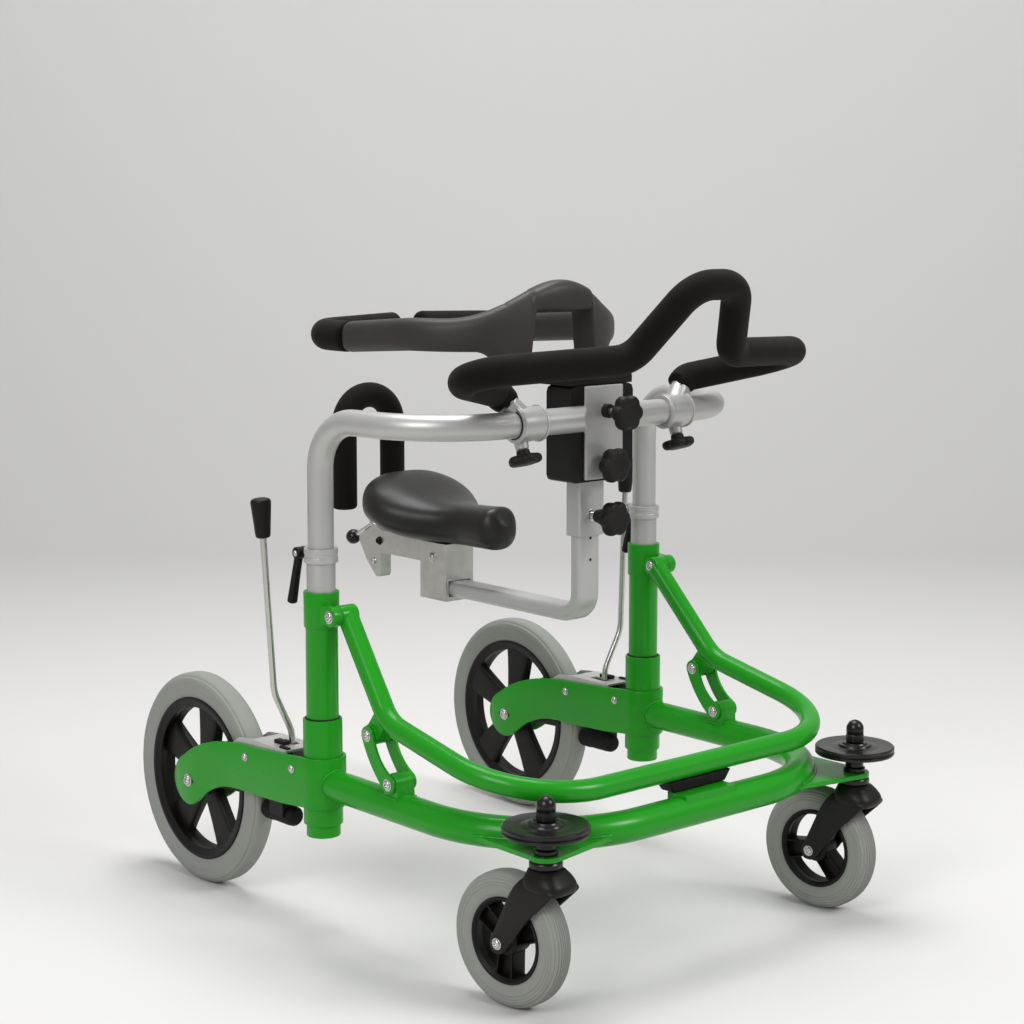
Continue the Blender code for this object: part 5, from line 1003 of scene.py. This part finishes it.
def foam_bar(path, radius, round_over):
    """Grid of a foam sleeve along a path: a round bar with the edge at each end rounded by round_over.

    Nearer an end than that, the radius is less by round_over * (1 - sqrt(1 - x^2)), where x goes from 0 to 1
    towards the end. More points are put in there, closer together towards the end.
    """
    steps = round_over * (1 - np.cos(np.linspace(0, np.pi / 2, 10)[1:]))[:, None]
    start = path[0] + unit(path[1] - path[0]) * steps
    end = path[-1] + unit(path[-2] - path[-1]) * steps
    path = np.vstack([path[:1], start, path[1:-1], end[::-1], path[-1:]])
    length = travelled(path)
    x = 1 - np.clip(np.minimum(length, length[-1] - length) / round_over, 0, 1)
    return bar(path, radius - round_over * (1 - np.sqrt(1 - x ** 2)), 56)


FOAM_R, FOAM_EDGE = 0.0180, 0.004
CLAMP_X, CLAMP_HALF = 0.1235, 0.0205
foot, knee = np.array((CLAMP_X, -TOP_FRONT, TOP_Z)), np.array((0.1568, -0.1912, 0.6770))
rise = unit(knee - foot)
half_bar = [foot + rise * 0.042, knee, (0.3198, -0.2770, 0.7106), (0.0830, -0.3417, 0.7210),
            (0.0355, -0.3971, 0.8067)]
bends = [0.020, 0.0366, 0.0366, 0.0440]
foam_path = rounded_path(both_halves(half_bar), bends + bends[::-1], 0.003)
grip_foam = shape("handlebar_foam", "grip", foam, [foam_bar(foam_path, FOAM_R, FOAM_EDGE)],
                  replaces="handlebar")

KNOB_TILT = np.radians(18)
tilt_cos, tilt_sin = np.cos(KNOB_TILT), np.sin(KNOB_TILT)
boss_axis = np.array((0, tilt_sin, tilt_cos))
knob_at = np.array((0.1300, -0.2105, 0.5963))
for side, word in SIDES:
    flip = np.array((side, 1, 1))
    at = (CLAMP_X, -TOP_FRONT, TOP_Z)
    shell = eased([(0.0165, -CLAMP_HALF), (0.0210, -CLAMP_HALF), (0.0210, CLAMP_HALF), (0.0165, CLAMP_HALF),
                   (0.0165, -CLAMP_HALF + 0.0005)], 0.0012)
    stub = bar(np.array([foot + rise * d for d in (0.014, 0.030, 0.0335, 0.0343)]),
               np.array((0.0145, 0.0137, 0.0137, 0.0130)), 40)
    flanges = [turned(drum(0.0206, 0.0222, middle - 0.0016, middle + 0.0016, 0.0005), at, "X")
               for middle in (-0.0175, 0.0175)]
    boss = bar(np.array([knob_at + boss_axis * d for d in (0.0127, 0.0135, 0.030)]),
               np.array((0.0072, 0.0080, 0.0092)), 36)
    shape("grip_clamp_" + word, "grip", silver_paint,
          [(turned(shell, at, "X") * flip, "loop")] + [part * flip for part in [stub, boss] + flanges],
          replaces="handlebar_clamp_" + word)
    liner = turned(drum(0.0162, 0.0176, CLAMP_HALF - 0.001, CLAMP_HALF + 0.0008, 0.0003), at, "X")
    shape("clamp_liner_" + word, "grip", wiper, [liner * flip])
    inner = bar(np.array([foot + rise * 0.030, foot + rise * 0.056]), 0.0120, 40)
    shape("grip_tube_" + word, "grip", silver_paint, [inner * flip])

    knob = star_knob(0.0212, 0.0120, 5, 0.10, 0.17)
    x, y, z = knob[..., 0], knob[..., 1], knob[..., 2] - 0.0062
    knob = np.stack([x, tilt_cos * y + tilt_sin * z, tilt_cos * z - tilt_sin * y], -1) + knob_at
    neck = bar(np.array([knob_at + boss_axis * d for d in (0.002, 0.0065, 0.0118)]),
               np.array((0.0100, 0.0086, 0.0078)), 36)
    shape("grip_knob_" + word + "_head", "grip_knob_" + word, knob_black,
          [knob * flip, neck * flip], replaces="handlebar_clamp_knob_" + word)
    screw = bar(np.array([knob_at + boss_axis * 0.010, knob_at + boss_axis * 0.0140]), 0.0035, 24)
    shape("grip_knob_" + word + "_screw", "grip_knob_" + word, bright_steel, [screw * flip])


# Trunk ring: a black skinned foam moulding on a carrier plate, open at the back, where two foam-covered
# gates close it. The moulding is one piece that rises to an arch over a window at the front.

pad_skin = finish("pad_skin", {"Specular IOR Level": 0.32, "Coat Weight": 0.04, "Coat Roughness": 0.35},
                  lambda p: {"Base Color": p.tint((0.0290, 0.0240, 0.0205), p.noise(12, 3), 0.15),
                             "Roughness": p.noise(35, 3) * 0.14 + 0.42,
                             "Normal": p.bump(p.cells(900, "SMOOTH_F1") * 0.5 + p.noise(1400, 2) * 0.5,
                                              0.0002, 0.35)})
softened("ring_carrier", "carrier_plate", "ring", black_plastic, 0.0012, segments=3)

PAD_HALF_WIDTH, PAD_FRONT, PAD_THICK = 0.1515, 0.1285, 0.0330
PAD_SEAT, ARM_END = 0.6896, 0.1040
PAD_SIDE_LOW, PAD_SIDE_TOP, PAD_ARM_LOW, PAD_ARM_TOP = 0.7170, 0.7580, 0.7085, 0.7480


def ring_moulding():
    """Grid of the ring's pad: an upright rounded section carried round a U seen from above.

    The U is half an ellipse with two straight arms. Along an arm the top and the underside sink evenly. Over
    the front the top rises by a squared cosine, and the underside steps up over the window in the middle.
    """
    angle = np.radians(np.concatenate([np.linspace(0, 60, 60), np.linspace(60.4, 90, 90)]))
    front = np.column_stack([PAD_HALF_WIDTH * np.cos(angle), -PAD_FRONT * np.sin(angle)])
    arm = np.column_stack([np.full(60, PAD_HALF_WIDTH), np.linspace(ARM_END, 0.0015, 60)])
    plan = np.vstack([arm, front])
    plan = np.vstack([plan, plan[::-1][1:] * (-1, 1)])
    across, y = np.abs(plan[:, 0]), plan[:, 1]
    arch = np.cos(np.pi / 2 * np.clip(across / 0.135, 0, 1)) ** 2
    on_arm = np.clip((y + 0.02) / 0.124, 0, 1)
    top = PAD_SIDE_TOP + np.where(y > -0.02, (PAD_ARM_TOP - PAD_SIDE_TOP) * on_arm, 0.0465 * arch)
    lobe = PAD_SEAT + (PAD_SIDE_LOW - PAD_SEAT) * np.clip((across - 0.078) / 0.022, 0, 1) ** 0.8
    window = np.clip((0.0480 - across) / 0.0040, 0, 1)
    step = lobe + (0.7630 - lobe) * (3 * window ** 2 - 2 * window ** 3)
    low = np.where(y > -0.02, PAD_SIDE_LOW + (PAD_ARM_LOW - PAD_SIDE_LOW) * on_arm, step)
    for line in (low, top):
        line[3:-3] = np.convolve(line, np.ones(7) / 7, "valid")
    end = np.minimum(np.arange(len(plan)), np.arange(len(plan))[::-1]) / 6
    close = 0.65 + 0.35 * np.sqrt(np.clip(1 - np.clip(1 - end, 0, 1) ** 2, 0.02, 1))
    t = np.linspace(0, 2 * np.pi, 64, endpoint=False)
    u = squarer(np.cos(t), 0.78) * (PAD_THICK / 2 * close)[:, None]
    v = squarer(np.sin(t), 0.66) * ((top - low) / 2 * close)[:, None]
    flat = carried(np.column_stack([plan, 0 * y]), np.stack([u, v], -1), (1, 0, 0))
    return flat + ((low + top) / 2)[:, None, None] * (0, 0, 1)


ring = shape("ring_pad_moulding", "ring", pad_skin, [ring_moulding()], replaces="ring_pad",
             sharp=60)

GATE_R, GATE_START, GATE_BACK = 0.0200, ARM_END + 0.0005, 0.1770
ARM_Z = (PAD_ARM_LOW + PAD_ARM_TOP) / 2
gate_path = rounded_path([(PAD_HALF_WIDTH, GATE_START, ARM_Z), (PAD_HALF_WIDTH, GATE_BACK, ARM_Z),
                          (0.0200, GATE_BACK, ARM_Z + 0.004)], [0.0320], 0.002)
for side, word in SIDES:
    gate = foam_bar(gate_path, GATE_R, 0.006) * (side, 1, 1)
    sleeve = shape("gate_foam_" + word, "gate_" + word, foam, [gate], replaces="ring_gate_" + word)
    pin = turned([(0.0058, GATE_START - 0.0290), (0.0058, GATE_START + 0.008)],
                 (side * PAD_HALF_WIDTH, 0, ARM_Z), "Y", 28)
    shape("gate_pin_" + word, "gate_" + word, bright_steel, [pin])


# Saddle: a narrow black moulded seat, wide and raised at the back, on a silver casting that grips the end
# of the seat post. Behind it stands a foam-covered loop, and a ball lever lies on the casting's sloping deck.

SADDLE_LOW, SADDLE_NOSE, SADDLE_LENGTH = 0.4490, -0.0300, 0.2430


def saddle_surface():
    """Grid of the saddle: rounded sections from nose to back, each a half width, an underside and a top.

    The half width goes from nose to seat by half a cosine, and both ends close on an ellipse. The top sags a
    little in the middle and rises to the back by a smooth step, and the underside's tail lifts with it.
    """
    t = np.concatenate([0.12 * (1 - np.cos(np.linspace(0, np.pi / 2, 24)[:-1])),
                        np.linspace(0.12, 0.72, 60)[:-1],
                        0.72 + 0.28 * np.sin(np.linspace(0, np.pi / 2, 34))])
    wide = 0.0300 + 0.0540 * (0.5 - 0.5 * np.cos(np.pi * np.clip((t - 0.25) / 0.5, 0, 1)))
    back = np.sqrt(np.clip(1 - np.clip((t - 0.72) / 0.28, 0, 1) ** 2.6, 0, 1))
    nose = np.sqrt(np.clip(1 - np.clip((0.12 - t) / 0.12, 0, 1) ** 2.2, 0, 1))
    wide = wide * np.maximum(0.02, np.minimum(back, nose))
    climb = np.clip((t - 0.40) / 0.45, 0, 1)
    lift = climb ** 2 * (3 - 2 * climb)
    ends = np.clip((t - 0.86) / 0.14, 0, 1) ** 2 + np.clip((0.08 - t) / 0.08, 0, 1) ** 2
    height = 0.0730 * (0.80 - 0.10 * np.sin(np.pi * t) + 0.20 * t ** 2)
    top = SADDLE_LOW + height + 0.0190 * lift - 0.026 * ends
    low = SADDLE_LOW + 0.0120 * lift ** 3 + 0.018 * ends
    turn = np.linspace(0, 2 * np.pi, 72, endpoint=False)
    x = wide[:, None] * squarer(np.cos(turn), 0.74)
    rise = np.abs(np.sin(turn))
    middle = (low + (top - low) * 0.48)[:, None]
    crown = middle + (top[:, None] - middle) * rise ** 0.82
    under = middle - (middle - low[:, None]) * rise ** 0.85
    y = np.broadcast_to((SADDLE_NOSE + SADDLE_LENGTH * t)[:, None], x.shape)
    return np.stack([x, y, np.where(np.sin(turn) > 0, crown, under)], -1)


saddle_skin = finish("saddle_skin", {"Specular IOR Level": 0.34, "Coat Weight": 0.08, "Coat Roughness": 0.3},
                     moulded((0.0105, 0.0092, 0.0082), 0.34, 1200, 0.00012))
seat = shape("saddle_moulding", "seat", saddle_skin, [saddle_surface()], replaces="saddle",
             sharp=70)
cast_metal = finish("cast_aluminium", {"Metallic": 0.85}, lambda m: {
    "Base Color": m.tint((0.52, 0.51, 0.48), m.noise(60, 3), 0.20),
    "Roughness": m.noise(110, 3) * 0.18 + 0.28,
    "Normal": m.bump(m.noise(500, 3), 0.00030, 0.6)})
softened("saddle_clamp", "saddle_casting", "seat", cast_metal, 0.0016, segments=3)
bolts = []
for half, radius, y, z in ((0.0240, 0.0052, 0.0950, 0.4290), (0.0092, 0.0036, 0.2430, 0.4030)):
    bolts += [bolt_head((s * half, y, z), s, radius, height=0.004) for s in (-1, 1)]
shape("casting_bolts", "seat", bright_steel, bolts)
hinge = [bolt_head((s * 0.0092, 0.2300, 0.4330), s, 0.0044, height=0.005) for s in (-1, 1)]
shape("casting_hinge", "seat", black_plastic, hinge)

DECK_PIVOT, DECK_SLOPE = np.array((0, 0.2500, 0.450156)), np.radians(27)
BALL_REACH, BALL_RISE, BALL_R = 0.0564, 0.0050, 0.0105


def on_deck(grid):
    """A grid about the lever's pivot, tilted back with the casting's sloping deck and set on it."""
    c, s = np.cos(DECK_SLOPE), np.sin(DECK_SLOPE)
    x, y, z = grid[..., 0], grid[..., 1], grid[..., 2]
    return np.stack([x, c * y + s * z, c * z - s * y], -1) + DECK_PIVOT


hub = turned(drum(0.001, 0.0075, 0.0005, 0.0100, 0.0012), (0, 0, 0))
stem = bar(np.array([(0, 0, 0.0055), (0, BALL_REACH, BALL_RISE)]), 0.0032, 28)
shape("seat_lever_arm", "seat_lever", bright_steel, [on_deck(hub), on_deck(stem)],
      replaces="saddle_clamp_lever")
t = np.radians(np.linspace(-88, 88, 40))
ball = np.column_stack([BALL_R * np.cos(t), BALL_RISE + BALL_R * np.sin(t)])
shape("seat_lever_ball", "seat_lever", gloss_black,
      [on_deck(turned(ball, (0, BALL_REACH, 0), "Z", 48))])

LOOP_HALF, LOOP_Y, LOOP_TOP, LOOP_R, STEM_Z = 0.0418, 0.2660, 0.6327, 0.0173, 0.4200
loop_path = rounded_path([(-LOOP_HALF, LOOP_Y, 0.4765), (-LOOP_HALF, LOOP_Y, LOOP_TOP),
                          (LOOP_HALF, LOOP_Y, LOOP_TOP), (LOOP_HALF, LOOP_Y, 0.4725)],
                         [0.0410, 0.0410], 0.003)
loop_foam = shape("rear_loop_foam", "seat", foam, [foam_bar(loop_path, LOOP_R, 0.006)],
                  replaces="rear_loop")
stem_path = rounded_path([(LOOP_HALF, LOOP_Y, 0.4800), (LOOP_HALF, LOOP_Y, STEM_Z), (0.0090, LOOP_Y, STEM_Z)],
                         [0.013], 0.001)
shape("rear_loop_stem", "seat", silver_paint, [bar(stem_path, 0.0080, 36)])


# Studio: pale matt paper that runs from the floor up into a wall, lit by three large soft lamps.
# The camera stands and looks as the photograph's camera did.


FLOOR_FRONT, FLOOR_HALF_WIDTH, BEND_START, BEND_R, WALL_TOP = -6.0, 7.0, 2.6, 1.4, 6.0


def studio_floor():
    """Grid of the floor and wall: a flat run, a quarter circle and an upright run, carried sideways."""
    t = np.linspace(0, np.pi / 2, 24)
    bend = np.column_stack([BEND_START + BEND_R * np.sin(t), BEND_R * (1 - np.cos(t))])
    profile = np.vstack([[(FLOOR_FRONT, 0.0)], bend, [(BEND_START + BEND_R, WALL_TOP)]])
    across, away = np.meshgrid(np.linspace(-FLOOR_HALF_WIDTH, FLOOR_HALF_WIDTH, 3), profile[:, 0])
    return np.stack([across, away, np.broadcast_to(profile[:, 1:], across.shape)], -1)


VIEW_TURN = np.radians(-41.148)
grid = studio_floor()
c, s = np.cos(VIEW_TURN), np.sin(VIEW_TURN)
flat = grid.reshape(-1, 3) @ np.array([[c, s, 0], [-s, c, 0], [0, 0, 1]])
rows, columns = grid.shape[:2]
index = np.arange(rows * columns).reshape(rows, columns)
quads = np.stack([index[:-1, :-1], index[:-1, 1:], index[1:, 1:], index[1:, :-1]], -1).reshape(-1, 4)
mesh = bpy.data.meshes.new("studio_floor")
mesh.from_pydata(flat.tolist(), [], quads.tolist())
mesh.shade_smooth()
backdrop = bpy.data.objects.new("studio_floor", mesh)
bpy.context.scene.collection.objects.link(backdrop)


def paper_with_painted_floor_shade(paper):
    """Painted shade: a pale grey floor that turns into a nearly white wall over the first 2.6 m of height."""
    height = paper.node("ShaderNodeSeparateXYZ", {}, {"Vector": paper.place()}, "Z")
    rise = paper.node("ShaderNodeMapRange", {}, {"Value": height, "From Max": 2.6}, "Result")
    # The floor's grey is painted shade on one near-white paper.
    colour = paper.node("ShaderNodeMix", {"data_type": "RGBA"},
                        {"Factor": rise, 6: (0.630, 0.622, 0.608, 1), 7: (0.960, 0.957, 0.950, 1)}, 2)
    return {"Base Color": colour, "Roughness": paper.noise(8, 2) * 0.05 + 0.85}


paper = finish("studio_paper", {"Specular IOR Level": 0.1}, paper_with_painted_floor_shade)
mesh.materials.append(paper)

world = bpy.data.worlds.new("studio_air")
bpy.context.scene.world = world
world.use_nodes = True
world.node_tree.nodes["Background"].inputs["Color"].default_value = (0.97, 0.985, 1.0, 1)
world.node_tree.nodes["Background"].inputs["Strength"].default_value = 0.40


LAMP_TARGET = np.array((0, 0, 0.4))


def soft_lamp(name, place, size, power):
    """A large square lamp that looks at the target."""
    lamp = bpy.data.lights.new(name, "AREA")
    lamp.shape = "SQUARE"
    lamp.size = size
    lamp.energy = power
    holder = bpy.data.objects.new(name, lamp)
    bpy.context.scene.collection.objects.link(holder)
    holder.location = place
    look = unit(LAMP_TARGET - place)
    holder.rotation_euler = (np.arccos(-look[2]), 0, np.arctan2(-look[0], look[1]))


soft_lamp("lamp_left", (-3.2, -1.2, 2.4), 1.6, 62)
soft_lamp("lamp_right", (1.4, -3.0, 2.6), 1.2, 66)
soft_lamp("lamp_top", (0.2, 0.4, 3.2), 1.6, 78)

CAMERA_X, CAMERA_Y, CAMERA_Z = -1.8167325, -2.122813, 0.9130165
VIEW_DOWN = np.radians(6.676)
camera = bpy.data.cameras.new("camera")
camera.lens, camera.sensor_width = 76.07, 36.0
camera.shift_x, camera.shift_y = -0.0027, -0.0656
camera.clip_start, camera.clip_end = 0.05, 60.0
camera_holder = bpy.data.objects.new("camera", camera)
bpy.context.scene.collection.objects.link(camera_holder)
camera_holder.location = (CAMERA_X, CAMERA_Y + UPRIGHT_Y, CAMERA_Z)
camera_holder.rotation_euler = (np.pi / 2 - VIEW_DOWN, 0, VIEW_TURN)
bpy.context.scene.camera = camera_holder
bpy.context.scene.view_settings.view_transform = "Standard"
